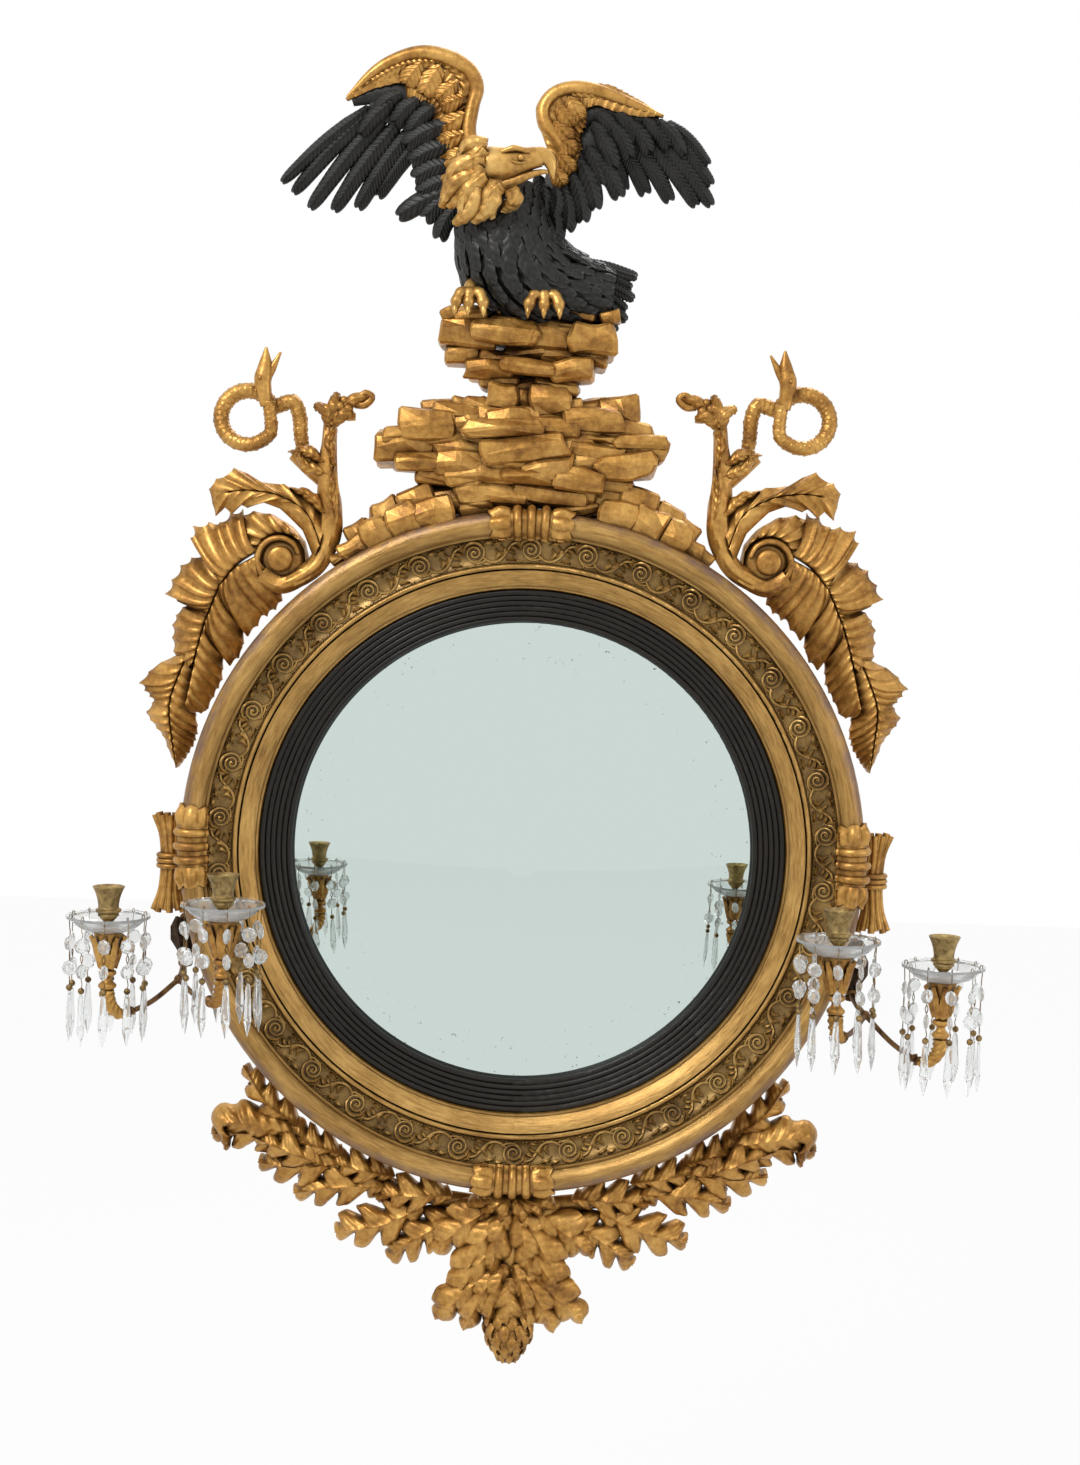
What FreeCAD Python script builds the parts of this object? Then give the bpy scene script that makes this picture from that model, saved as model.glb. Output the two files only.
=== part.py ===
"""Convex girandole mirror with eagle crest, serpent scrolls, leaf apron and two double candle arms.

Millimetres. The wall is the plane y = 0 and the mirror stands in front of it, towards -Y. +Z is up.
The origin is the centre of the ring at the wall. Angles round the ring run clockwise from its top,
as seen from the front, and "out" is the distance outside the ring's widest edge.
"""

import FreeCAD, Part
import math
import os

V = FreeCAD.Vector
FRONT = V(0, -1, 0)
UP = V(0, 0, 1)
CENTRE = V(0, 0, 0)
WALL_AXIS = V(0, 1, 0)

# ---------------------------------------------------------------- ring
ring_radius = 392.0
ring_depth = 84.0
edge_bead_stand = 8.0
edge_bead_start = 30.0
edge_bead_end = 54.0
torus_inset = 5.0
torus_width = 19.5
torus_start_depth = 60.0
torus_fillet = 3.5
frieze_width = 31.0
frieze_depth = 70.0
frieze_inner_depth = 63.0
frieze_sink = 9.0
frieze_band_thickness = 1.6
pearl_width = 5.0
pearl_rise = 3.5
inner_moulding_width = 24.0
inner_moulding_depth = 64.0
inner_step_width = 5.0
inner_step_depth = 53.0
lip_front_depth = 47.0
lip_back_depth = 40.0
rebate_step = 8.0
seat_clearance = 0.15

# ---------------------------------------------------------------- slip, glass and back
slip_width = 36.0
slip_flange = 6.0
slip_outer_depth = 50.0
slip_inner_depth = 38.0
slip_reeds = 6
slip_reed_rise = 2.2
glass_cover = 8.0
glass_thickness = 4.0
mirror_curve_radius = 1120.0
block_count = 8
block_span = 7.0
block_lap = 6.0
backboard_recess = 3.0
backboard_thickness = 11.0
backboard_bevel_width = 13.0
backboard_edge = 6.0
board_screw_inset = 26.0
board_screw_radius = 2.0
board_screw_length = 20.0
screw_head_radius = 4.2
screw_head_height = 2.2
screw_clearance = 0.1

# ---------------------------------------------------------------- ferrules
ferrule_angles = (0.0, 90.0, 180.0, 270.0)
ferrule_stand = 6.0
ferrule_band_width = 13.5
ferrule_band_pitch = 16.0
ferrule_core_stand = 3.0
petal_length = 27.0
petal_half_width = 8.5
petal_rise = 4.0

# ---------------------------------------------------------------- reed bundles
reed_count = 5
reed_bundle_top = 36.0
reed_bundle_bottom = -84.0
reed_bundle_waist = -22.0
reed_bundle_reach = 36.0
reed_waist_reach = 27.0
reed_radius = 5.0
reed_depth = 30.0
reed_tie_height = 16.0
reed_tie_stand = 2.5

# ---------------------------------------------------------------- rockwork
rock_height = 218.0
rock_offset = -11.0
rock_depth = 96.0
rock_sides = 6

# ---------------------------------------------------------------- eagle
eagle_depth = 66.0
eagle_body_girth = 56.0
wing_thickness = 15.0
feather_rise = 5.0
tail_feathers = 5

# ---------------------------------------------------------------- side scrolls
scroll_angle = -40.9
scroll_out = 46.0
scroll_turn_right = 2.5
scroll_depth = 46.0
scroll_stem_width = 13.0
scroll_stem_rise = 13.0
volute_rim_radius = 30.0
volute_boss_radius = 14.5
volute_boss_rise = 16.0
backing_width = 13.0
backing_depth = 22.0
leaf_rise = 9.0
leaf_back = 7.0
serpent_loop_radius = 31.0
serpent_radius = 8.6
serpent_cross_gap = 19.5

# ---------------------------------------------------------------- apron
apron_stem_out = 27.0
apron_depth = 40.0
apron_leaf_length = 62.0
pendant_drop = 202.0
cone_radius = 22.0
cone_length = 62.0

# ---------------------------------------------------------------- hanging plates
hanger_spacing = 376.0
hanger_height = 292.0
hanger_length = 58.0
hanger_width = 26.0
hanger_thickness = 3.0
hanger_eye_radius = 4.5
hanger_pocket_radius = 8.0
hanger_pocket_depth = 16.0
hanger_screw_offset = 20.0

# ---------------------------------------------------------------- arm brackets and pins
pivot_side = 392.0
pivot_depth = 22.0
socket_height_left = -112.0
socket_height_right = -130.0
socket_length = 42.0
socket_wall = 4.0
pin_radius = 5.0
pin_clearance = 0.06
pin_end_gap = 0.3
hub_radius = 8.5
hub_height = 15.0
button_height = 6.0
strap_thickness = 4.0
strap_half_height = 13.0
strap_reach = 52.0

# ---------------------------------------------------------------- candle arms
outer_reach = 148.0
inner_reach = 182.0
outer_angle = 29.3
inner_angle = 18.2
arm_rest_turn = 4.0
rod_radius = 3.0
knob_radius = 6.5
first_leg = 72.0
fork_fall = 10.0
fork_knob_radius = 5.5
horn_drop = 146.0
horn_foot_reach = 24.0
horn_thin_radius = 5.0
horn_thick_radius = 8.0
horn_ribs = 4
horn_twist_step = 24.0
horn_sections = 10
rim_heights = {
    "outer_left": -37.0,
    "inner_left": -15.0,
    "outer_right": -67.0,
    "inner_right": -33.0,
}

# ---------------------------------------------------------------- nozzle, cup and pan
candle_bore_radius = 10.0
candle_bore_depth = 32.0
nozzle_rim_radius = 17.8
nozzle_body_radius = 11.8
nozzle_ring_radius = 14.2
nozzle_flange_radius = 13.0
nozzle_height = 46.0
nozzle_stem_radius = 7.6
nozzle_stem_length = 14.0
stem_clearance = 0.3
face_gap = 0.2
pan_thickness = 4.0
pan_radius = 46.0
pan_rise = 13.0
pan_flat_radius = 20.0
pan_rim_width = 6.0
pan_scallops = 20
cup_height = 66.0
cup_radius = 15.5

# ---------------------------------------------------------------- drops
drop_count = 10
drop_circle_radius = 42.0
button_radius = 8.0
button_thickness = 5.0
button_first_drop = 28.5
button_pitch = 28.0
ball_radius = 3.7
prism_length = 58.0
prism_width = 11.0
prism_thickness = 7.5
link_half = 0.8
link_gap = 0.3

# ---------------------------------------------------------------- radii worked out from the sizes
wall_radius = ring_radius - edge_bead_stand
torus_outer = ring_radius - torus_inset
torus_inner = torus_outer - torus_width
frieze_outer = torus_inner - torus_fillet
frieze_inner = frieze_outer - frieze_width
pearl_inner = frieze_inner - pearl_width
lip_radius = pearl_inner - inner_moulding_width
rebate_radius = lip_radius + rebate_step
sight_radius = lip_radius - slip_width
glass_radius = sight_radius + glass_cover
slip_back_depth = lip_back_depth - slip_flange
glass_tuck = math.sqrt(mirror_curve_radius**2 - sight_radius**2) - math.sqrt(mirror_curve_radius**2 - glass_radius**2)
glass_edge_depth = slip_back_depth - glass_tuck - seat_clearance
glass_sag = mirror_curve_radius - math.sqrt(mirror_curve_radius**2 - glass_radius**2)
board_front = backboard_recess + backboard_thickness
crest = ring_radius + rock_height


# ---------------------------------------------------------------- places and curves
def at(angle, out, depth):
    """The point at an angle round the ring, out from its edge, and depth in front of the wall."""
    turn = math.radians(angle)
    reach = ring_radius + out
    return V(reach * math.sin(turn), -depth, reach * math.cos(turn))


def crest_at(side, rise, depth):
    """A point beside and above the middle of the rockwork's top, where the eagle stands."""
    return V(rock_offset + side, -depth, crest + rise)


def smooth(points, count):
    """Even points along a smooth curve through the given ones."""
    curve = Part.BSplineCurve()
    curve.interpolate(points)
    return curve.discretize(count)


def shares(count):
    """Even shares from 0 to 1."""
    return [i / (count - 1) for i in range(count)]


def blend(values, share):
    """The value at a share of the way along a short list of values."""
    place = share * (len(values) - 1)
    low = min(int(place), len(values) - 2)
    return values[low] + (values[low + 1] - values[low]) * (place - low)


def mirrored(shape):
    """The shape's twin on the other side of the ring."""
    return shape.mirror(CENTRE, V(1, 0, 0))


# ---------------------------------------------------------------- solids
def flat_face(corners):
    return Part.Face(Part.makePolygon(corners + [corners[0]]))


def facets(a, b, c, d):
    """The four-cornered patch a, b, c, d as one flat face, or as two along its shorter diagonal."""
    if abs((b - a).cross(c - a).dot(d - a)) < 1e-6:
        return [flat_face([a, b, c, d])]
    if (c - a).Length < (d - b).Length:
        return [flat_face([a, b, c]), flat_face([a, c, d])]
    return [flat_face([a, b, d]), flat_face([b, c, d])]


def solid_from(sections):
    """One faceted solid through flat sections that have the same number of corners."""
    count = len(sections[0])
    faces = [flat_face(sections[0]), flat_face(sections[-1])]
    for lower, upper in zip(sections, sections[1:]):
        for k in range(count):
            after = (k + 1) % count
            faces += facets(lower[k], lower[after], upper[after], upper[k])
    made = Part.makeSolid(Part.makeShell(faces))
    if made.Volume < 0:
        made = made.reversed()
    return made


def frames_along(path, first_side):
    """Direction, side and upward vectors that are carried along a path without turning."""
    frames = []
    side = V(first_side)
    for i in range(len(path)):
        before = path[max(i - 1, 0)]
        after = path[min(i + 1, len(path) - 1)]
        along = V(after - before).normalize()
        side = V(side - along * side.dot(along)).normalize()
        frames.append((along, side, along.cross(side)))
    return frames


def bar(path, radii, sides, first_side, ribs=0, rib_share=0.0, twist=0.0):
    """A many-sided bar along a path, plain or with twisted ribs."""
    sections = []
    for i, (along, side, upward) in enumerate(frames_along(path, first_side)):
        corners = []
        radius = blend(radii, i / (len(path) - 1))
        for k in range(sides):
            angle = math.tau * k / sides
            swell = 1.0 + rib_share * math.cos(ribs * angle) if ribs else 1.0
            turn = angle + math.radians(twist) * i
            reach = radius * swell
            corners.append(path[i] + side * (reach * math.cos(turn)) + upward * (reach * math.sin(turn)))
        sections.append(corners)
    return solid_from(sections)


def carved(path, half_widths, rises, backs):
    """A carved strip along a path, with a ridge in front and a lower keel behind."""
    sections = []
    for i, point in enumerate(path):
        share = i / (len(path) - 1)
        before = path[max(i - 1, 0)]
        after = path[min(i + 1, len(path) - 1)]
        side = V(after - before).cross(FRONT).normalize()
        half = blend(half_widths, share)
        ridge = point + FRONT * blend(rises, share)
        keel = point - FRONT * blend(backs, share)
        sections.append([point + side * half, ridge, point - side * half, keel])
    return solid_from(sections)


def oval_body(path, half_heights, half_depths, sides):
    """A rounded body along a path seen from the front, with oval sections."""
    sections = []
    for i, point in enumerate(path):
        share = i / (len(path) - 1)
        before = path[max(i - 1, 0)]
        after = path[min(i + 1, len(path) - 1)]
        side = V(after - before).cross(FRONT).normalize()
        half = blend(half_heights, share)
        deep = blend(half_depths, share)
        corners = []
        for k in range(sides):
            angle = math.tau * (k + 0.5) / sides
            corners.append(point + side * (half * math.cos(angle)) + FRONT * (deep * math.sin(angle)))
        sections.append(corners)
    return solid_from(sections)


def joined(pieces):
    """The pieces as one solid."""
    whole = pieces[0].fuse(pieces[1:])
    solids = whole.Solids
    if len(solids) != 1:
        print("    joined pieces came out as", len(solids), "solids")
    return whole.removeSplitter()


def main_solid(shape):
    """The largest solid of a fitted shape, without the slivers that fitting leaves."""
    return max(shape.Solids, key=lambda piece: piece.Volume)


def outline_face(start, steps, place):
    """A face whose edge runs from start through lines and arcs and closes itself."""
    edges = []
    here = start
    for step in steps:
        if len(step) == 2:
            edges.append(Part.makeLine(place(*here), place(*step)))
            here = step
        else:
            middle = (step[0], step[1])
            end = (step[2], step[3])
            edges.append(Part.Arc(place(*here), place(*middle), place(*end)).toShape())
            here = end
    if here != start:
        edges.append(Part.makeLine(place(*here), place(*start)))
    return Part.Face(Part.Wire(edges))


def ring_place(radius, depth):
    return V(radius, -depth, 0)


def turned(start, steps, sweep=360.0):
    """A solid turned about the ring's axis, from an outline in radius and depth."""
    return outline_face(start, steps, ring_place).revolve(CENTRE, WALL_AXIS, sweep)


def turned_sector(start, steps, middle_angle, sweep):
    """A stretch of a turned ring, centred on an angle round the ring."""
    sector = turned(start, steps, sweep)
    sector.rotate(CENTRE, WALL_AXIS, middle_angle - 90.0 - sweep / 2)
    return sector


def upright(start, steps, foot):
    """A solid turned about a vertical axis, from an outline in radius and height."""
    def place(radius, height):
        return foot + V(radius, 0, height)

    return outline_face(start, steps, place).revolve(foot, UP, 360.0)


def save(name, shape):
    """Write one sub-part."""
    if isinstance(shape, list):
        shape = Part.makeCompound(shape)
    os.makedirs("parts", exist_ok=True)
    shape.exportStep(os.path.join("parts", name + ".step"))
    print(name, len(shape.Solids), "solids,", len(shape.Faces), "faces,", round(shape.Volume / 1000), "cm3",
          "" if shape.isValid() else "NOT VALID")


# ---------------------------------------------------------------- ring, frieze, slip, glass and back
def frieze_arc():
    """The hollow of the frieze, from its outer edge to the row of pearls."""
    middle_depth = (frieze_depth + frieze_inner_depth) / 2 - frieze_sink
    middle_radius = (frieze_outer + frieze_inner) / 2
    return (middle_radius, middle_depth, frieze_inner, frieze_inner_depth)


def frame_ring():
    edge_middle = (edge_bead_start + edge_bead_end) / 2
    torus_middle = torus_outer - torus_width * 0.35
    moulding_start = pearl_inner - 2.0
    step_start = lip_radius + inner_step_width
    ring = turned(
        (wall_radius, 0.0),
        [
            (wall_radius, edge_bead_start),
            (ring_radius, edge_middle, torus_outer, edge_bead_end),
            (torus_outer, torus_start_depth),
            (torus_middle, ring_depth, torus_inner, ring_depth - 8.0),
            (torus_inner, frieze_depth + 2.0),
            (frieze_outer, frieze_depth + 2.0),
            (frieze_outer, frieze_depth),
            frieze_arc(),
            (frieze_inner - pearl_width / 2, frieze_inner_depth + pearl_rise, pearl_inner, frieze_inner_depth),
            (pearl_inner, inner_moulding_depth - 5.0),
            (moulding_start, inner_moulding_depth),
            ((moulding_start + step_start) / 2 + 1.0, inner_moulding_depth - 2.5, step_start, inner_step_depth + 2.0),
            (step_start, inner_step_depth),
            (lip_radius + 2.0, inner_step_depth),
            (lip_radius, lip_front_depth),
            (lip_radius, lip_back_depth),
            (rebate_radius, lip_back_depth),
            (rebate_radius, 0.0),
        ],
    )
    for side in (-1, 1):
        ring = ring.cut(hanger_outline(side, hanger_length / 2 + screw_clearance, hanger_width / 2 + screw_clearance))
        eye = hanger_centre(side)
        ring = ring.cut(Part.makeCylinder(hanger_pocket_radius, hanger_pocket_depth, eye, FRONT))
        for shift in (-hanger_screw_offset, hanger_screw_offset):
            ring = ring.cut(wall_screw_hole(eye + V(shift, 0, 0)))
        ring = ring.cut(strap(side, screw_clearance))
        for hole in strap_screw_places(side):
            ring = ring.cut(wall_screw_hole(hole))
    return ring


def frieze_band():
    """The thin strip of cast ornament that lines the hollow of the frieze."""
    middle_radius, middle_depth, end_radius, end_depth = frieze_arc()
    hollow = Part.Arc(
        ring_place(frieze_outer, frieze_depth),
        ring_place(middle_radius, middle_depth),
        ring_place(end_radius, end_depth),
    )
    first = hollow.FirstParameter
    span = hollow.LastParameter - first
    back = [hollow.value(first + span * share) for share in (0.06, 0.5, 0.94)]
    face = [point + FRONT * frieze_band_thickness for point in back]
    edges = [
        Part.Arc(*back).toShape(),
        Part.makeLine(back[2], face[2]),
        Part.Arc(*face).toShape(),
        Part.makeLine(face[0], back[0]),
    ]
    wire = Part.Wire(Part.__sortEdges__(edges))
    return Part.Face(wire).revolve(CENTRE, WALL_AXIS, 360.0)


def ebonised_slip():
    outer = lip_radius - seat_clearance
    reed_width = (outer - sight_radius) / slip_reeds
    reed_fall = (slip_outer_depth - slip_inner_depth) / slip_reeds
    steps = [(outer, lip_back_depth), (outer, slip_outer_depth)]
    for i in range(slip_reeds):
        middle = outer - reed_width * (i + 0.5)
        crown = slip_outer_depth - reed_fall * (i + 0.5) + slip_reed_rise
        steps.append((middle, crown, outer - reed_width * (i + 1), slip_outer_depth - reed_fall * (i + 1)))
    steps.append((outer - reed_width * slip_reeds, slip_back_depth))
    steps.append((rebate_radius - seat_clearance, slip_back_depth))
    return turned((rebate_radius - seat_clearance, lip_back_depth), steps)


def mirror_plate():
    def bow(radius):
        return math.sqrt(mirror_curve_radius**2 - radius**2) - mirror_curve_radius + glass_sag + glass_edge_depth

    half = glass_radius / 2
    back_edge = glass_edge_depth - glass_thickness
    return turned(
        (0.0, bow(0.0)),
        [
            (half, bow(half), glass_radius, glass_edge_depth),
            (glass_radius, back_edge),
            (half, bow(half) - glass_thickness, 0.0, bow(0.0) - glass_thickness),
        ],
    )


def board_screw_angles():
    return [360.0 * (i + 0.5) / block_count for i in range(block_count)]


def board_screw_place(angle):
    turn = math.radians(angle)
    reach = rebate_radius - board_screw_inset
    return V(reach * math.sin(turn), -backboard_recess, reach * math.cos(turn))


def glazing_blocks():
    """Softwood blocks in the rebate that hold the glass against the slip and carry the backboard."""
    outer = rebate_radius - seat_clearance
    inner = glass_radius + seat_clearance
    behind = glass_edge_depth - glass_thickness
    blocks = []
    for angle in board_screw_angles():
        block = turned_sector(
            (outer, slip_back_depth),
            [(inner, slip_back_depth), (inner, behind), (glass_radius - block_lap, behind),
             (glass_radius - block_lap, board_front), (outer, board_front)],
            angle,
            block_span,
        )
        hole = Part.makeCylinder(board_screw_radius + screw_clearance, board_screw_length + 1.0,
                                 board_screw_place(angle), FRONT)
        blocks.append(block.cut(hole))
    return blocks


def backboard():
    edge = rebate_radius - seat_clearance
    board = turned(
        (0.0, board_front),
        [(edge, board_front), (edge, board_front - backboard_edge),
         (edge - backboard_bevel_width, backboard_recess), (0.0, backboard_recess)],
    )
    for angle in board_screw_angles():
        board = board.cut(Part.makeCylinder(board_screw_radius + screw_clearance, board_screw_length,
                                            board_screw_place(angle), FRONT))
    return board


def round_screw(place, length):
    """A round-head screw: its head lies behind the place and its shank runs forwards."""
    head = Part.makeCone(screw_head_radius * 0.6, screw_head_radius, screw_head_height,
                         place - FRONT * screw_head_height, FRONT)
    shank = Part.makeCylinder(board_screw_radius, length, place, FRONT)
    return head.fuse(shank).removeSplitter()


def backboard_screws():
    return [round_screw(board_screw_place(angle), board_screw_length) for angle in board_screw_angles()]


# ---------------------------------------------------------------- hanging plates and bracket straps
def hanger_centre(side):
    return V(side * hanger_spacing / 2, 0, hanger_height)


def hanger_outline(side, half_length, half_width):
    """A flat plate with round ends, let into the back of the ring."""
    centre = hanger_centre(side)
    straight = half_length - half_width

    def place(x, z):
        return centre + V(x, 0, z)

    face = outline_face(
        (-straight, half_width),
        [(straight, half_width), (straight + half_width, 0.0, straight, -half_width),
         (-straight, -half_width), (-straight - half_width, 0.0, -straight, half_width)],
        place,
    )
    return face.extrude(FRONT * hanger_thickness)


def wall_screw_hole(place):
    return Part.makeCylinder(board_screw_radius + screw_clearance, board_screw_length + 1.0, place, FRONT)


def countersink(place):
    """The seat of a flat-head screw whose head is flush with the wall face."""
    return Part.makeCone(screw_head_radius + screw_clearance, board_screw_radius + screw_clearance,
                         screw_head_height, place, FRONT)


def flat_screw(place):
    head = Part.makeCone(screw_head_radius, board_screw_radius, screw_head_height, place, FRONT)
    shank = Part.makeCylinder(board_screw_radius, board_screw_length, place, FRONT)
    return head.fuse(shank).removeSplitter()


def hanging_plate(side):
    plate = hanger_outline(side, hanger_length / 2, hanger_width / 2)
    eye = hanger_centre(side)
    plate = plate.cut(Part.makeCylinder(hanger_eye_radius, hanger_thickness, eye, FRONT))
    for shift in (-hanger_screw_offset, hanger_screw_offset):
        plate = plate.cut(wall_screw_hole(eye + V(shift, 0, 0))).cut(countersink(eye + V(shift, 0, 0)))
    return plate


def socket_height(side):
    return socket_height_left if side < 0 else socket_height_right


def strap(side, margin):
    """The bracket's flat strap, let into the back of the ring."""
    height = socket_height(side)
    inner = side * (pivot_side - strap_reach - margin)
    outer = side * pivot_side
    low = min(inner, outer)
    return Part.makeBox(abs(outer - inner), strap_thickness, 2 * (strap_half_height + margin),
                        V(low, -strap_thickness, height - strap_half_height - margin))


def strap_screw_places(side):
    reach = pivot_side - strap_reach
    return [V(side * (reach + 8.0), 0, socket_height(side) + shift) for shift in (-7.0, 7.0)]


def arm_bracket(side):
    """Iron strap, socket tube for the arm's pin, and a leaf in front of the tube."""
    height = socket_height(side)
    base = V(side * pivot_side, -pivot_depth, height - socket_length / 2)
    tube_radius = pin_radius + socket_wall
    tube = Part.makeCylinder(tube_radius, socket_length, base, UP)
    web = Part.makeBox(2 * tube_radius, pivot_depth - strap_thickness, 2 * strap_half_height,
                       V(side * pivot_side - tube_radius, -pivot_depth, height - strap_half_height))
    foot = V(side * (pivot_side + 3.0), -pivot_depth - tube_radius, height - socket_length / 2 + 1.0)
    tip = V(side * (pivot_side + 9.0), -pivot_depth - tube_radius - 3.0, height + socket_length / 2 + 3.0)
    leaf = carved([foot, foot + (tip - foot) * 0.4, foot + (tip - foot) * 0.75, tip],
                  (3.0, 11.0, 9.0, 1.5), (2.0, 6.0, 5.0, 1.0), (3.0, 4.0, 3.0, 1.0))
    bracket = joined([strap(side, 0.0), tube, web, leaf])
    bracket = bracket.cut(edge_wall())
    bracket = bracket.cut(Part.makeCylinder(pin_radius + pin_clearance, socket_length, base, UP))
    for place in strap_screw_places(side):
        bracket = bracket.cut(wall_screw_hole(place)).cut(countersink(place))
    return bracket


def edge_wall():
    """The ring's outer wall in front of the straps, to fit the brackets against it."""
    return turned(
        (rebate_radius, strap_thickness),
        [(wall_radius + seat_clearance, strap_thickness), (wall_radius + seat_clearance, edge_bead_start),
         (ring_radius + seat_clearance, edge_bead_start + 12.0), (rebate_radius, edge_bead_start + 12.0)],
    )


def frame_back_screws():
    screws = []
    for side in (-1, 1):
        for shift in (-hanger_screw_offset, hanger_screw_offset):
            screws.append(flat_screw(hanger_centre(side) + V(shift, 0, 0)))
        for place in strap_screw_places(side):
            screws.append(flat_screw(place))
    return screws


# ---------------------------------------------------------------- ferrules and reed bundles
def ferrule_outline(stand):
    """The outer moulding's outline with a margin, in radius and depth."""
    outer = ring_radius + stand
    front = ring_depth + stand
    start = (wall_radius + 0.5, edge_bead_start - 2.0)
    steps = [
        (outer, edge_bead_start + 2.0),
        (outer + 1.0, (edge_bead_start + front) / 2, torus_outer + stand * 0.5, front - 8.0),
        (torus_outer - torus_width * 0.35, front + 1.0, frieze_outer + 1.0, front - 6.0),
        (frieze_outer + 1.0, frieze_depth + 2.2),
    ]
    return start, steps


def ferrule(angle, ring):
    """Three bands and two cups of petals that clasp the ring's outer moulding."""
    degree = math.degrees(1.0 / ring_radius)
    pieces = []
    start, steps = ferrule_outline(ferrule_core_stand)
    core_length = 2 * ferrule_band_pitch + ferrule_band_width + 12.0
    pieces.append(turned_sector(start, steps, angle, core_length * degree))
    start, steps = ferrule_outline(ferrule_stand)
    for band in (-1, 0, 1):
        shift = band * ferrule_band_pitch * degree
        pieces.append(turned_sector(start, steps, angle + shift, ferrule_band_width * degree * 0.8))
    petal_start = core_length / 2 - 5.0
    for end in (-1, 1):
        for out, depth, tilt in ((3.0, 56.0, 0.9), (-6.0, ring_depth - 3.0, 1.0), (-20.0, ring_depth - 1.0, 0.85)):
            path = [at(angle + end * (petal_start + petal_length * share) * degree, out, depth)
                    for share in (0.0, 0.4, 0.75, 1.0)]
            pieces.append(carved(path, (5.0, petal_half_width * tilt, petal_half_width * 0.7, 1.2),
                                 (petal_rise, petal_rise * 1.3, petal_rise * 1.6, petal_rise), (6.0, 6.0, 4.0, 2.0)))
    return main_solid(joined(pieces).cut(ring))


def reed_bundle():
    """Left bundle: flared reeds behind the ring's edge, tied at the waist."""
    pieces = []
    for i in range(reed_count):
        share = (i + 0.5) / reed_count
        points = []
        for height, reach in ((reed_bundle_bottom, reed_bundle_reach), (reed_bundle_bottom * 0.6, reed_waist_reach + 3.0),
                              (reed_bundle_waist, reed_waist_reach), (reed_bundle_top * 0.4, reed_waist_reach + 3.0),
                              (reed_bundle_top, reed_bundle_reach)):
            side = ring_radius - 14.0 + (reach + 14.0 - reed_radius) * share
            points.append(V(-side, -reed_depth - 6.0 * math.sin(math.pi * share), height))
        pieces.append(bar(points, (reed_radius * 1.25, reed_radius, reed_radius * 0.85, reed_radius, reed_radius * 1.25),
                          6, FRONT))
    tie_side = ring_radius + reed_waist_reach + reed_tie_stand
    tie = Part.makeBox(tie_side - ring_radius + 16.0, 2 * reed_radius + 12.0, reed_tie_height,
                       V(-tie_side, -reed_depth - reed_radius - 7.5, reed_bundle_waist - reed_tie_height / 2))
    pieces.append(tie.makeFillet(4.0, [edge for edge in tie.Edges if abs(edge.tangentAt(edge.FirstParameter).z) > 0.9]))
    core = bar([V(-ring_radius - 8.0, -reed_depth, reed_bundle_bottom + 8.0),
                V(-ring_radius - 8.0, -reed_depth, reed_bundle_top - 8.0)], (14.0, 14.0), 6, FRONT)
    pieces.append(core)
    return main_solid(joined(pieces).cut(solid_disc()).cut(ferrules["left"]))


# ---------------------------------------------------------------- rockwork
def rock(side, foot, half_width, height, depth_middle, half_depth, seed):
    """One angular slab: an uneven prism whose top is a little smaller and turned."""
    sections = []
    for level, shrink in ((0.0, 0.86), (0.35, 1.0), (1.0, 0.84)):
        corners = []
        for k in range(rock_sides):
            wobble = 1.0 + 0.16 * math.sin(seed * 2.3 + k * 1.9 + level)
            angle = math.tau * (k + 0.3 * math.sin(seed * 1.7)) / rock_sides + 0.12 * math.sin(seed + level * 3.0)
            corners.append(V(rock_offset + side + half_width * shrink * wobble * math.cos(angle),
                             -depth_middle - half_depth * shrink * wobble * math.sin(angle),
                             foot + height * level + 2.0 * math.sin(seed + k)))
        sections.append([V(c.x, c.y, foot + height * level) for c in corners])
    return solid_from(sections)


def rockwork():
    """A stack of slabs that narrows to a waist under the top and spreads over the ring."""
    pieces = []
    middle = rock_depth / 2 + 4.0
    top = crest
    # rise below the top, slab height, half width, slabs in the tier, share of the depth
    tiers = (
        (44.0, 44.0, 88.0, 4, 1.0),
        (58.0, 20.0, 78.0, 3, 0.9),
        (80.0, 26.0, 52.0, 2, 0.8),
        (110.0, 36.0, 100.0, 4, 0.86),
        (132.0, 26.0, 126.0, 4, 0.92),
        (158.0, 34.0, 158.0, 5, 0.95),
        (184.0, 30.0, 106.0, 4, 0.9),
    )
    seed = 1.0
    for fall, height, half_span, count, deep in tiers:
        half_width = half_span / count * 1.22
        for i in range(count):
            side = (half_span - half_width * 0.9) * (2.0 * i / (count - 1) - 1.0)
            pieces.append(rock(side, top - fall, half_width, height, middle + 3.0 * math.sin(seed * 3.0),
                               rock_depth / 2 * deep * (0.82 + 0.14 * math.sin(seed * 2.0)), seed))
            seed += 1.0
    core = rock(0.0, ring_radius - 16.0, 44.0, rock_height, middle - 6.0, rock_depth * 0.36, 0.4)
    pieces.append(core)
    for end, inward in ((-1, 0.0), (1, scroll_turn_right + 0.5)):
        for angle, out, half_width, height in ((9.0, 6.0, 40.0, 52.0), (17.0, 4.0, 38.0, 50.0),
                                               (24.0, 2.0, 34.0, 44.0), (30.0 - inward, -8.0, 24.0, 34.0)):
            place = at(end * angle, out, 0.0)
            pieces.append(rock(place.x - rock_offset, place.z, half_width, height, middle - 8.0,
                               rock_depth * 0.36, seed))
            seed += 1.0
    return main_solid(joined(pieces).cut(solid_disc()).cut(ring_solid).cut(ferrules["top"]))


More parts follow.
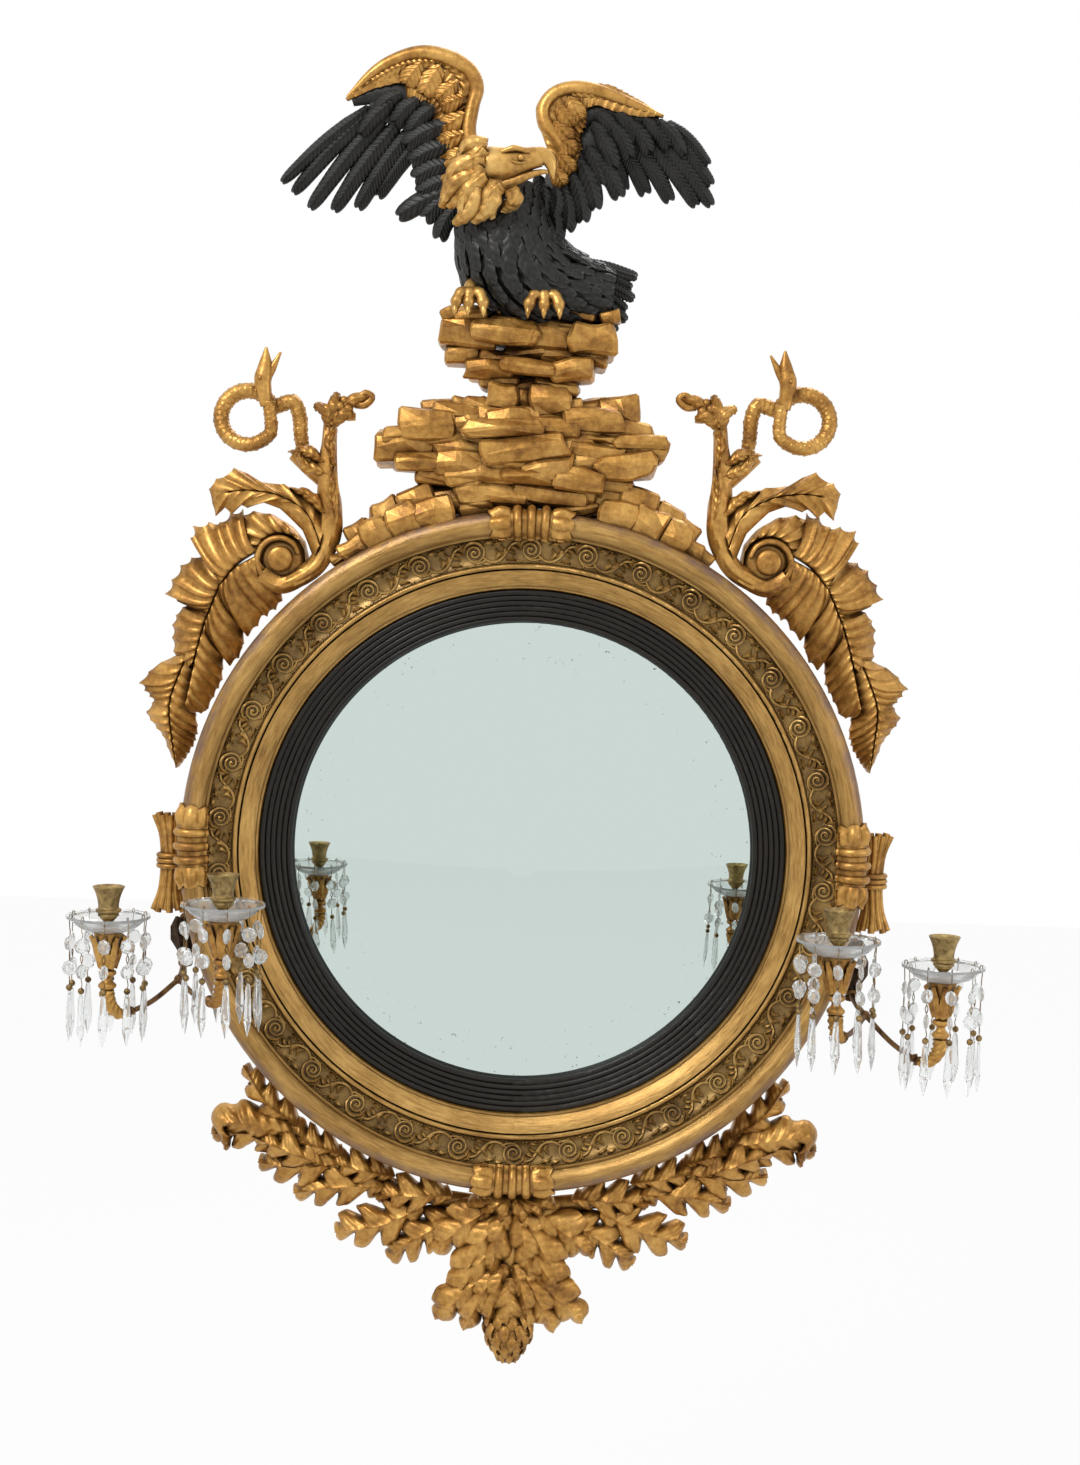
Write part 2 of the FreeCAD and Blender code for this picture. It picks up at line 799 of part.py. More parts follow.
def solid_disc():
    """The space inside the ring's outline, filled, for fitting what sits on its edge."""
    return turned(
        (0.0, -20.0),
        [(wall_radius + seat_clearance, -20.0), (wall_radius + seat_clearance, edge_bead_start),
         (ring_radius + seat_clearance, (edge_bead_start + edge_bead_end) / 2, torus_outer + seat_clearance,
          edge_bead_end), (torus_outer + seat_clearance, torus_start_depth),
         (torus_outer, ring_depth + 60.0), (0.0, ring_depth + 60.0)],
    )


# ---------------------------------------------------------------- eagle
def eagle_body():
    spine = smooth([crest_at(-34, 150, eagle_depth), crest_at(-32, 104, eagle_depth + 2), crest_at(-18, 62, eagle_depth),
                    crest_at(20, 40, eagle_depth - 4), crest_at(70, 30, eagle_depth - 8)], 9)
    girth = eagle_body_girth
    trunk = oval_body(spine, (26.0, 46.0, girth, girth * 0.98, girth * 0.74, 30.0, 20.0),
                      (24.0, 36.0, 44.0, 44.0, 36.0, 22.0, 12.0), 10)
    pieces = [trunk]
    for i in range(tail_feathers):
        spread = i / (tail_feathers - 1)
        root = crest_at(40, 44 - 16 * spread, eagle_depth - 8)
        tip = crest_at(120 - 15 * spread * spread, 50 - 58 * spread, eagle_depth - 20)
        path = [root, root + (tip - root) * 0.5, root + (tip - root) * 0.88, tip]
        pieces.append(carved(path, (9.0, 13.0, 12.0, 3.0), (10.0, 8.0, 6.0, 3.0), (6.0, 6.0, 5.0, 2.0)))
    return joined(pieces)


def eagle_head():
    """Ruffed neck, skull turned to the viewer's right, and a hooked beak."""
    depth = eagle_depth + 44.0
    path = smooth([crest_at(-92, 118, depth - 20), crest_at(-62, 138, depth - 2), crest_at(-30, 158, depth + 8),
                   crest_at(-4, 166, depth + 12)], 6)
    head = oval_body(path, (16.0, 27.0, 27.0, 21.0, 17.0, 10.0), (14.0, 26.0, 28.0, 22.0, 17.0, 9.0), 8)
    beak_path = [crest_at(-10, 165, depth + 12), crest_at(8, 167, depth + 13), crest_at(19, 163, depth + 13),
                 crest_at(21, 153, depth + 12)]
    beak = oval_body(beak_path, (11.0, 9.0, 6.0, 1.5), (9.0, 7.5, 5.0, 1.2), 6)
    jaw = oval_body([crest_at(-12, 156, depth + 11), crest_at(6, 151, depth + 12), crest_at(11, 150, depth + 12)],
                    (7.0, 4.0, 1.2), (7.0, 4.0, 1.2), 6)
    pieces = [head, beak, jaw]
    for side, rise, length in ((-95, 112, 24), (-74, 104, 34), (-48, 112, 26)):
        root = crest_at(side + 8, rise + 22, depth - 4)
        tip = crest_at(side, rise + 22 - length, depth - 2)
        pieces.append(carved([root, root + (tip - root) * 0.6, tip], (11.0, 10.0, 2.0), (8.0, 7.0, 2.0), (14.0, 10.0, 4.0)))
    return main_solid(joined(pieces).cut(eagle_trunk))


def feather(root, tip, half_width, rise, back):
    """One flight feather, widest past its middle, with a raised quill."""
    path = [root, root + (tip - root) * 0.45, root + (tip - root) * 0.86, tip]
    return carved(path, (half_width * 0.6, half_width, half_width * 0.85, half_width * 0.2),
                  (rise, rise, rise * 0.8, rise * 0.4), (back, back, back * 0.8, back * 0.4))


def wing(arm_points, arm_widths, roots, tips, half_widths):
    """Leading edge with flight feathers fanned out behind it and a second, shorter row over them."""
    arm = carved(smooth(arm_points, 9), arm_widths, (wing_thickness, wing_thickness, wing_thickness * 0.8, 4.0),
                 (wing_thickness * 0.7, wing_thickness * 0.7, 6.0, 3.0))
    middle = [point + V(1.5, 2.0, -5.5) for point in roots]
    pieces = [arm, carved(middle, (24.0, 30.0, 28.0, 26.0), (9.0, 10.0), (7.0, 8.0))]
    for i, tip in enumerate(tips):
        root = roots[i]
        pieces.append(feather(root, tip, half_widths[i], feather_rise, feather_rise + 2.0))
        cover_tip = root + (tip - root) * 0.56 + FRONT * feather_rise
        pieces.append(feather(root + FRONT * feather_rise, cover_tip, half_widths[i] * 1.1, feather_rise, feather_rise))
    return main_solid(joined(pieces).cut(eagle_trunk))


def eagle_wing_left():
    depth = eagle_depth - 6.0
    arm = [crest_at(side, rise, depth) for side, rise in
           ((-66, 132), (-80, 176), (-72, 222), (-74, 262), (-98, 286), (-130, 286), (-168, 268), (-206, 240))]
    tips = [(-285, 147), (-270, 136), (-250, 120), (-222, 116), (-194, 120), (-164, 138), (-148, 110),
            (-124, 90), (-98, 104)]
    roots = [(-200, 236), (-186, 244), (-172, 250), (-156, 252), (-140, 250), (-124, 240), (-108, 222),
             (-92, 196), (-76, 166)]
    widths = [10.0, 12.0, 14.0, 15.0, 16.0, 16.0, 17.0, 17.0, 16.0]
    return wing(arm, (17.0, 20.0, 20.0, 17.0, 14.0, 5.0), [crest_at(a, b, depth) for a, b in roots],
                [crest_at(a, b, depth - 14.0) for a, b in tips], widths)


def eagle_wing_right():
    depth = eagle_depth - 10.0
    arm = [crest_at(side, rise, depth) for side, rise in
           ((0, 124), (22, 160), (20, 200), (12, 230), (34, 252), (70, 248), (110, 238), (144, 226))]
    tips = [(186, 178), (197, 156), (203, 136), (176, 138), (150, 140), (124, 150), (98, 156), (82, 128), (56, 108)]
    roots = [(150, 226), (142, 222), (133, 218), (120, 216), (104, 213), (86, 208), (66, 200), (46, 182), (26, 154)]
    widths = [10.0, 12.0, 13.0, 14.0, 14.0, 14.0, 15.0, 16.0, 16.0]
    return wing(arm, (17.0, 19.0, 18.0, 15.0, 12.0, 5.0), [crest_at(a, b, depth) for a, b in roots],
                [crest_at(a, b, depth - 10.0) for a, b in tips], widths)


def eagle_feet():
    """Two feet, each a shank with three toes gripping the top slab."""
    feet = []
    for side in (-64, 18):
        ankle = crest_at(side, 26, eagle_depth + 30)
        shank = bar([crest_at(side - 2, 44, eagle_depth + 6), ankle, crest_at(side, 8, eagle_depth + 32)],
                    (8.0, 7.0, 8.0), 6, V(1, 0, 0))
        toes = [shank]
        for spread in (-17, 0, 17):
            toes.append(bar([crest_at(side, 10, eagle_depth + 30), crest_at(side + spread * 0.7, 11, eagle_depth + 38),
                             crest_at(side + spread, 2.5, eagle_depth + 43)], (7.0, 6.5, 2.2), 6, V(1, 0, 0)))
        feet.append(joined(toes).cut(eagle_trunk).cut(rock_stack))
    return [main_solid(foot) for foot in feet]


# ---------------------------------------------------------------- side scrolls
def side_backing(first, last):
    """A strip behind the ornament that is glued to the ring's outer wall."""
    inner = wall_radius + seat_clearance
    return turned_sector((inner, 3.0), [(inner + backing_width, 3.0), (inner + backing_width, backing_depth),
                                        (inner, backing_depth)], (first + last) / 2, last - first)


def volute_centre():
    return at(scroll_angle, scroll_out, scroll_depth)


def scroll():
    """Left scroll: stem, volute with its boss, side leaf and the calyx that holds the serpent."""
    centre = volute_centre()
    stem_points = [at(-25.7, 150, scroll_depth - 4), at(-28.0, 114, scroll_depth), at(-30.1, 75, scroll_depth),
                   at(-32.7, 36, scroll_depth), at(-37.0, 15, scroll_depth)]
    for turn in (-60, -100, -150, -200, -255, -310, -360):
        angle = math.radians(turn)
        reach = volute_rim_radius - 4.0 - 9.0 * (-turn - 60) / 300.0
        stem_points.append(centre + V(reach * math.cos(angle), 0, reach * math.sin(angle)))
    width = scroll_stem_width
    stem = carved(smooth(stem_points, 24), (width * 0.7, width * 0.9, width, width, width * 0.75, width * 0.6,
                                            width * 0.45, width * 0.3),
                  (8.0, scroll_stem_rise, scroll_stem_rise, 12.0, 8.0, 8.0, 8.0, 7.0), (7.0, 12.0, 16.0, 18.0, 14.0, 12.0))
    boss = Part.makeCone(volute_boss_radius, volute_boss_radius * 0.8, volute_boss_rise * 2,
                         centre - FRONT * volute_boss_rise, FRONT)
    web = Part.makeCylinder(volute_rim_radius - 5.0, 12.0, centre - FRONT * 14.0, FRONT)
    side_leaf = carved(smooth([at(-32.0, 62, scroll_depth), at(-33.8, 92, scroll_depth), at(-36.2, 122, scroll_depth),
                               at(-38.6, 143, scroll_depth + 4), at(-41.2, 152, scroll_depth + 8),
                               at(-43.2, 142, scroll_depth + 8)], 10),
                       (13.0, 15.0, 13.0, 10.0, 13.0, 15.0, 9.0), (10.0, 9.0, 8.0, 8.0, 6.0), (8.0, 7.0, 6.0, 4.0))
    calyx = carved([at(-29.6, 84, scroll_depth), at(-30.0, 112, scroll_depth), at(-30.4, 138, scroll_depth - 2)],
                   (12.0, 15.0, 11.0), (10.0, 13.0, 11.0), (9.0, 12.0, 12.0))
    socket = bar([at(-30.1, 112, scroll_depth - 4), at(-30.6, 136, scroll_depth - 4)], (12.0, 13.5), 8, FRONT)
    backing = side_backing(-52.0, -33.0)
    bridge = carved([at(-36.0, -4, backing_depth - 6), at(-37.5, 14, scroll_depth - 8)], (18.0, 12.0), (8.0, 8.0), (6.0, 6.0))
    bridge_low = carved([at(-45.0, -4, backing_depth - 6), at(-43.0, 30, scroll_depth - 6)], (12.0, 10.0), (8.0, 8.0), (6.0, 6.0))
    whole = joined([stem, boss, web, side_leaf, calyx, socket, backing, bridge, bridge_low])
    return main_solid(whole.cut(solid_disc()).cut(serpent_room()))


def serpent_path():
    """Up out of the calyx, over to the loop, once round it and up in front of itself."""
    loop = at(-33.7, 198, 0.0)
    back = scroll_depth - 8.0
    front = back + serpent_cross_gap
    root = at(-30.3, 128, back)
    points = [root, at(-29.5, 158, back), at(-28.3, 182, back)]
    start = 62.0
    for i in range(8):
        turn = math.radians(start + i * 41.0)
        lift = back + serpent_cross_gap * i / 7
        points.append(V(loop.x + serpent_loop_radius * math.cos(turn), -lift, loop.z + serpent_loop_radius * math.sin(turn)))
    points.append(at(-31.2, 208, front))
    return points


def serpent():
    body_path = smooth(serpent_path(), 30)
    radius = serpent_radius
    body = bar(body_path, (radius, radius * 1.05, radius * 1.1, radius, radius * 0.85, radius * 0.75), 8, FRONT)
    depth = scroll_depth - 8.0 + serpent_cross_gap
    skull = oval_body([at(-31.1, 202, depth), at(-30.4, 222, depth), at(-29.5, 234, depth + 1), at(-28.3, 256, depth + 2)],
                      (6.0, 9.5, 8.0, 1.6), (6.0, 8.0, 6.5, 1.5), 8)
    jaw = oval_body([at(-30.4, 218, depth), at(-28.5, 230, depth), at(-27.0, 242, depth)],
                    (5.0, 4.0, 1.4), (5.0, 4.0, 1.4), 6)
    return joined([body, skull, jaw])


def serpent_room():
    """The hole in the calyx that the serpent's root stands in."""
    radius = serpent_radius + seat_clearance
    path = smooth(serpent_path(), 30)[:7]
    return bar(path, (radius, radius * 1.05), 8, FRONT)


def bud_spray():
    """Left bud spray: two leaves, a cluster of buds and a curled tip."""
    depth = scroll_depth - 4.0
    stalk = carved([at(-25.7, 146, depth), at(-24.6, 164, depth), at(-23.4, 168, depth), at(-21.0, 158, depth)],
                   (8.0, 10.0, 9.0, 3.0), (8.0, 9.0, 8.0, 4.0), (7.0, 7.0, 6.0, 3.0))
    curl = bar([at(-21.4, 160, depth - 5), at(-20.5, 161, depth + 9)], (7.6, 6.6), 8, UP)
    pieces = [stalk, curl]
    for angle, out, size in ((-23.6, 160, 9.0), (-22.8, 166, 8.0), (-23.0, 150, 7.0), (-22.0, 156, 6.0)):
        middle = at(angle, out, depth + 4)
        pieces.append(bar([middle - FRONT * size, middle, middle + FRONT * size], (size * 0.5, size, size * 0.4), 6, UP))
    return main_solid(joined(pieces).cut(left_scroll))


def acanthus():
    """Left acanthus: a curved midrib with lobes on both sides, and a small leaf turned out below."""
    depth = scroll_depth - 8.0
    midrib = smooth([at(-43.5, 58, depth), at(-48.0, 68, depth), at(-54.0, 56, depth), at(-61.0, 40, depth),
                     at(-69.0, 26, depth), at(-77.5, 22, depth)], 13)
    pieces = [carved(midrib, (12.0, 13.0, 12.0, 10.0, 5.0), (leaf_rise, leaf_rise, 8.0, 6.0, 3.0), (leaf_back, leaf_back, 5.0, 3.0))]
    blade = smooth([at(-41.5, 60, depth), at(-47.0, 61, depth), at(-54.0, 50, depth), at(-60.0, 38, depth),
                    at(-66.0, 30, depth), at(-77.0, 20, depth)], 10)
    pieces.append(carved(blade, (34.0, 48.0, 40.0, 28.0, 20.0, 5.0), (6.0, 6.0, 5.0, 2.0), (5.0, 5.0, 4.0, 2.0)))
    # angle and distance of each lobe's tip, and where it leaves the midrib
    lobes = (
        (0, -36.0, 52.0, 13.0), (0, -39.4, 104.0, 17.0), (1, -43.2, 127.0, 17.0), (2, -47.2, 140.0, 16.0),
        (3, -51.6, 119.0, 15.0), (4, -56.4, 112.0, 15.0), (5, -60.4, 80.0, 14.0), (6, -63.6, 66.0, 13.0),
        (3, -46.8, 9.0, 13.0), (4, -50.6, 8.0, 13.0), (5, -54.8, 9.0, 12.0), (7, -60.0, 9.0, 12.0),
        (9, -66.0, 9.0, 11.0), (10, -72.0, 9.0, 10.0),
    )
    for place, angle, out, half_width in lobes:
        root = midrib[place]
        tip = at(angle, out, depth - 6.0)
        pieces.append(carved([root, root + (tip - root) * 0.5, root + (tip - root) * 0.85, tip],
                             (half_width * 0.8, half_width, half_width * 0.8, half_width * 0.25),
                             (leaf_rise, leaf_rise, 6.0, 2.5), (leaf_back, leaf_back, 4.0, 2.0)))
    for place, angle, out, half_width in ((9, -67.6, 91.0, 13.0), (9, -71.0, 70.0, 14.0), (10, -74.4, 46.0, 12.0)):
        root = midrib[place]
        tip = at(angle, out, depth)
        pieces.append(carved([root, root + (tip - root) * 0.6, tip], (9.0, half_width, half_width * 0.4),
                             (leaf_rise, leaf_rise, 3.0), (leaf_back, 5.0, 2.0)))
    backing = side_backing(-76.0, -52.3)
    pieces.append(backing)
    for angle in (-56.0, -62.0, -68.0, -74.0):
        pieces.append(carved([at(angle, -3, backing_depth - 8), at(angle, 18, depth - 6)], (8.0, 8.0), (7.0, 7.0), (5.0, 5.0)))
    return main_solid(joined(pieces).cut(solid_disc()).cut(left_scroll))


# ---------------------------------------------------------------- apron
def lobed_leaf(root, tip, half_width, pairs):
    """A leaf with a midrib and pairs of rounded side lobes."""
    span = tip - root
    side = V(span).cross(FRONT).normalize()
    pieces = [carved([root, root + span * 0.35, root + span * 0.78, tip],
                     (half_width * 0.4, half_width * 0.85, half_width * 0.66, half_width * 0.14),
                     (leaf_rise, leaf_rise, 7.0, 3.0), (leaf_back, leaf_back, 5.0, 2.0))]
    for k in range(pairs):
        share = 0.22 + 0.6 * k / max(pairs - 1, 1)
        reach = half_width * (1.15 - 0.4 * share)
        for hand in (-1, 1):
            start = root + span * share
            end = start + span * 0.2 + side * (hand * reach)
            pieces.append(carved([start, start + (end - start) * 0.65, end], (reach * 0.34, reach * 0.42, reach * 0.16),
                                 (leaf_rise * 0.9, leaf_rise * 0.7, 2.5), (leaf_back, 4.0, 2.0)))
    return pieces


def apron_spray():
    """Left spray: a stem that follows the ring's edge with overlapping leaves."""
    depth = apron_depth
    stem = [at(angle, apron_stem_out + 6.0 * math.sin(math.radians((angle + 128) * 4)), depth - 6)
            for angle in range(-131, -179, -6)]
    pieces = [carved(stem, (8.0, 10.0, 12.0, 14.0), (7.0, 8.0, 10.0), (8.0, 8.0, 10.0))]
    leaves = (
        (-140.0, 40.0, -128.0, 16.0, 22.0, 2), (-142.0, 34.0, -134.0, 92.0, 26.0, 2),
        (-150.0, 36.0, -142.6, 80.0, 26.0, 3), (-158.0, 40.0, -149.6, 86.0, 26.0, 3),
        (-166.0, 44.0, -157.4, 102.0, 27.0, 3), (-172.0, 48.0, -165.0, 110.0, 26.0, 3),
        (-160.0, 24.0, -150.0, 18.0, 15.0, 2), (-170.0, 26.0, -160.5, 17.0, 15.0, 2),
    )
    for root_angle, root_out, tip_angle, tip_out, half_width, pairs in leaves:
        pieces += lobed_leaf(at(root_angle, root_out, depth), at(tip_angle, tip_out, depth - 4), half_width, pairs)
    pieces.append(side_backing(-173.0, -134.0))
    for angle in (-137.0, -149.0, -161.0, -171.0):
        pieces.append(carved([at(angle, -3, backing_depth - 8), at(angle, 30, depth - 10)], (9.0, 9.0), (7.0, 7.0), (6.0, 6.0)))
    return main_solid(joined(pieces).cut(solid_disc()))


def apron_pendant():
    """Overlapping leaves that hang from the bottom ferrule and end in a cone."""
    depth = apron_depth + 8.0
    pieces = []
    layers = ((-9.0, 92.0, 24.0), (9.3, 94.0, 24.0), (-4.0, 120.0, 26.0), (4.4, 123.0, 26.0),
              (-7.8, 164.0, 22.0), (8.1, 162.0, 22.0), (0.5, 150.0, 24.0))
    for layer, (side_angle, drop, half_width) in enumerate(layers):
        root = at(180.0 + side_angle * 0.25, 22.0 + drop * 0.2, depth - 6 + layer * 1.1)
        tip = at(180.0 + side_angle, drop, depth + layer * 0.7)
        pieces += lobed_leaf(root, tip, half_width, 3)
    neck = carved([at(180.0, 8.0, depth - 12), at(180.0, 70.0, depth - 8), at(180.0, pendant_drop - cone_length, depth - 6)],
                  (20.0, 24.0, 16.0), (12.0, 12.0, 10.0), (16.0, 16.0, 10.0))
    pieces.append(neck)
    cone_top = at(180.0, pendant_drop - cone_length, depth)
    pieces.append(upright((0.0, 0.0), [(cone_radius * 0.7, 0.0), (cone_radius * 1.1, -cone_length * 0.45, 0.0, -cone_length)],
                          cone_top))
    pieces.append(side_backing(176.0, 184.0))
    pieces.append(carved([at(180.0, -3, backing_depth - 10), at(180.0, 30, depth - 14)], (16.0, 16.0), (9.0, 9.0), (6.0, 6.0)))
    return main_solid(joined(pieces).cut(solid_disc()).cut(ferrules["bottom"]))


# ---------------------------------------------------------------- candle arms
def arm_turn(side, reach_angle, inward):
    """Plan angle of a candle from straight forward, towards the middle of the mirror."""
    swing = arm_rest_turn if side < 0 else -arm_rest_turn
    return math.radians(reach_angle + swing if inward else -reach_angle + swing)


def pivot(side):
    return V(side * pivot_side, -pivot_depth, 0)


def candle_place(kind):
    """The candle's axis at its rim."""
    side = -1 if kind.endswith("left") else 1
    inward = kind.startswith("inner")
    turn = arm_turn(side, inner_angle if inward else outer_angle, inward)
    reach = inner_reach if inward else outer_reach
    place = pivot(side) + V(-side * reach * math.sin(turn), -reach * math.cos(turn), 0)
    place.z = rim_heights[kind]
    return place


def hub_place(side):
    """Middle of the arm's hub, under the socket."""
    return pivot(side) + UP * (socket_height(side) - socket_length / 2 - pin_end_gap - hub_height / 2)


def fork_place(side):
    """Where the arm's two rods part, straight in front of the hub."""
    swing = math.radians(arm_rest_turn)
    return hub_place(side) + V(math.sin(swing) * first_leg, -math.cos(swing) * first_leg, -fork_fall)


def arm_path(kind):
    """From the fork in front of the ring down to the horn's foot, and from there up into the cup."""
    side = -1 if kind.endswith("left") else 1
    rim = candle_place(kind)
    fork = fork_place(side)
    forward = V(rim.x - fork.x, rim.y - fork.y, 0).normalize()
    foot = V(rim.x, rim.y, rim.z - horn_drop) - forward * horn_foot_reach
    rod = [fork, fork + (foot - fork) * 0.5 - UP * 5.0, foot]
    cup_foot = V(rim.x, rim.y, rim.z - nozzle_height - pan_thickness - cup_height)
    horn = [foot, foot + forward * 10.0 + UP * 2.0, foot + forward * (horn_foot_reach - 4.0) + UP * 12.0,
            cup_foot - UP * 6.0, cup_foot]
    return rod, horn


def arm(side):
    """Pivot pin with its button, hub and the two rods, cast as one."""
    hub = hub_place(side)
    height = socket_height(side)
    pin_top = height + socket_length / 2 + pin_end_gap
    pieces = [
        Part.makeCylinder(hub_radius, hub_height, hub - UP * (hub_height / 2), UP),
        Part.makeCylinder(pin_radius, pin_top + 1.0 - hub.z, hub, UP),
        upright((0.0, 0.0), [(pin_radius + 2.2, 0.0), (pin_radius + 2.2, button_height * 0.35),
                             (pin_radius, button_height * 0.8), (pin_radius * 0.4, button_height),
                             (0.0, button_height)], V(hub.x, hub.y, pin_top)),
    ]
    fork = fork_place(side)
    leg = smooth([hub + V(0, -hub_radius * 0.5, 0), hub + (fork - hub) * 0.5 - UP * 3.0, fork], 5)
    pieces.append(bar(leg, (rod_radius * 1.5, rod_radius * 1.2), 6, UP))
    knob = (fork_knob_radius * 0.5, fork_knob_radius, fork_knob_radius * 0.5)
    pieces.append(bar([fork - UP * fork_knob_radius, fork, fork + UP * fork_knob_radius], knob, 8, FRONT))
    ends = ("outer_left", "inner_left") if side < 0 else ("outer_right", "inner_right")
    for kind in ends:
        rod, horn_points = arm_path(kind)
        pieces.append(bar(smooth(rod, 7), (rod_radius, rod_radius), 6, UP))
        start = V(rod[-1] - rod[-2]).normalize()
        pieces.append(bar([rod[-1] - start * 10.0, rod[-1] - start * 5.0, rod[-1] - start * 0.2],
                          (rod_radius * 0.7, knob_radius, horn_thin_radius), 8, FRONT))
    return main_solid(joined(pieces).cut(horn_room(ends[0])).cut(horn_room(ends[1])))


def horn_room(kind):
    """The room in front of the rod's end that the horn's foot takes."""
    points = smooth(arm_path(kind)[1], horn_sections)
    start = V(points[1] - points[0]).normalize()
    return Part.makeCylinder(horn_thick_radius * 1.6, horn_thick_radius * 2, points[0] - start * seat_clearance, start)


def horn(kind):
    """Rope-twist horn that rises from the rod's end into the candle cup."""
    points = arm_path(kind)[1]
    side = V(points[-1] - points[0]).cross(UP)
    return bar(smooth(points, horn_sections), (horn_thin_radius, horn_thick_radius), 2 * horn_ribs, side.normalize(),
               horn_ribs, 0.16, horn_twist_step)


def candle_cup(kind):
    """Carved cup under the drip pan, with a knop where it meets the horn."""
    rim = candle_place(kind)
    top = -nozzle_height - face_gap - pan_thickness - face_gap
    foot = -nozzle_height - pan_thickness - cup_height
    neck = horn_thick_radius * 0.75
    bore = nozzle_stem_radius + seat_clearance
    return upright(
        (0.0, foot + 0.1),
        [
            (neck, foot + 0.1),
            (neck + 4.5, foot + 5.0, neck, foot + 10.0),
            (neck - 1.0, foot + 14.0),
            (neck + 3.5, foot + 18.0),
            (neck + 3.5, foot + 21.0),
            (neck, foot + 24.0),
            (neck + 3.0, top - 26.0, cup_radius - 3.0, top - 10.0),
            (cup_radius, top - 4.0),
            (cup_radius - 1.5, top),
            (bore, top),
            (bore, top - nozzle_stem_length),
            (0.0, top - nozzle_stem_length),
        ],
        rim,
    )


def nozzle(kind):
    """Brass candle nozzle: lipped socket, ringed body, and a stem through the pan into the cup."""
    rim = candle_place(kind)
    body = nozzle_body_radius
    flange = -nozzle_height
    stem_end_height = flange - face_gap * 2 - pan_thickness - nozzle_stem_length + 1.0
    return upright(
        (candle_bore_radius, 0.0),
        [
            (nozzle_rim_radius, 0.0),
            (nozzle_rim_radius, -1.8),
            (body + 1.2, -4.0, body, -11.0),
            (body, -23.0),
            (nozzle_ring_radius, -25.0),
            (nozzle_ring_radius, -28.5),
            (body, -30.5),
            (body - 0.4, -35.0, nozzle_flange_radius - 2.5, -41.0),
            (nozzle_flange_radius, -43.5),
            (nozzle_flange_radius, flange),
            (nozzle_stem_radius, flange),
            (nozzle_stem_radius, stem_end_height),
            (0.0, stem_end_height),
            (0.0, -candle_bore_depth),
            (candle_bore_radius, -candle_bore_depth),
        ],
        rim,
    )


# ---------------------------------------------------------------- drip pans and drops
def pan_top():
    """Height of the pan's flat top below the candle rim."""
    return -nozzle_height - face_gap


def drip_pan(kind):
    """Cut-glass dish with a scalloped rim and a hole for each hook."""
    rim = candle_place(kind)
    top = pan_top()
    hole = nozzle_stem_radius + stem_clearance
    slope_end = pan_radius - pan_rim_width
    dish = upright(
        (hole, top),
        [
            (pan_flat_radius, top),
            ((pan_flat_radius + slope_end) / 2, top + pan_rise * 0.3, slope_end, top + pan_rise),
            (pan_radius, top + pan_rise + 1.0),
            (pan_radius, top + pan_rise - 2.0),
            (slope_end + 1.0, top + pan_rise - 3.2),
            ((pan_flat_radius + slope_end) / 2 + 1.5, top + pan_rise * 0.3 - pan_thickness + 0.6, pan_flat_radius,
             top - pan_thickness),
            (hole, top - pan_thickness),
        ],
        rim,
    )
    cutters = []
    notch = math.pi * pan_radius / pan_scallops * 0.55
    for i in range(pan_scallops):
        angle = math.tau * (i + 0.5) / pan_scallops + drop_angle(kind, 0)
        place = rim + V((pan_radius + notch * 0.8) * math.cos(angle), (pan_radius + notch * 0.8) * math.sin(angle), top)
        cutters.append(Part.makeCylinder(notch, pan_rise + 6.0, place, UP))
    dish = dish.cut(cutters)
    for i in range(drop_count):
        place = drop_place(kind, i)
        box = Part.makeBox(2 * (link_half + link_gap), 2 * (link_half + link_gap), pan_rise + 10.0,
                           V(place.x - link_half - link_gap, place.y - link_half - link_gap, rim.z + top - 2.0))
        dish = dish.cut(box)
    return dish


def drop_angle(kind, index):
    """Direction of a drop from the candle's axis, so that two of them straddle the rod."""
    rod = arm_path(kind)[0]
    towards = rod[0] - rod[-1]
    first = math.atan2(towards.y, towards.x)
    return first + math.tau * (index + 0.5) / drop_count


def drop_place(kind, index):
    angle = drop_angle(kind, index)
    rim = candle_place(kind)
    height = rim.z + pan_top() + pan_rise
    return V(rim.x + drop_circle_radius * math.cos(angle), rim.y + drop_circle_radius * math.sin(angle), height)


def button(centre, outward, sidewards):
    """Octagonal cut-glass button, thin at its edge."""
    sections = []
    for shift, size in ((-button_thickness / 2, 0.5), (0.0, 1.0), (button_thickness / 2, 0.5)):
        corners = []
        for k in range(8):
            angle = math.tau * (k + 0.5) / 8
            reach = button_radius * size / math.cos(math.pi / 8)
            corners.append(centre + outward * shift + sidewards * (reach * math.cos(angle)) + UP * (reach * math.sin(angle)))
        sections.append(corners)
    return solid_from(sections)


def prism(top, outward, sidewards):
    """Long spear-shaped prism, widest low down, with a pointed tip."""
    sections = []
    for share, size in ((0.0, 0.42), (0.66, 1.0), (1.0, 0.06)):
        middle = top - UP * (prism_length * share)
        wide = prism_width / 2 * size
        deep = prism_thickness / 2 * size
        sections.append([middle + sidewards * wide, middle + outward * deep, middle - sidewards * wide, middle - outward * deep])
    return solid_from(sections)


def link(top, bottom):
    """A straight piece of square brass wire."""
    size = link_half
    return Part.makeBox(2 * size, 2 * size, top.z - bottom.z, V(top.x - size, top.y - size, bottom.z))


def ball(centre):
    """Faceted ball cap over the prism's top."""
    sections = []
    for rise, size in ((-0.9, 0.45), (0.0, 1.0), (0.9, 0.45)):
        sections.append([centre + V(ball_radius * size * math.cos(math.tau * k / 6), ball_radius * size * math.sin(math.tau * k / 6),
                                    ball_radius * rise) for k in range(6)])
    return solid_from(sections)


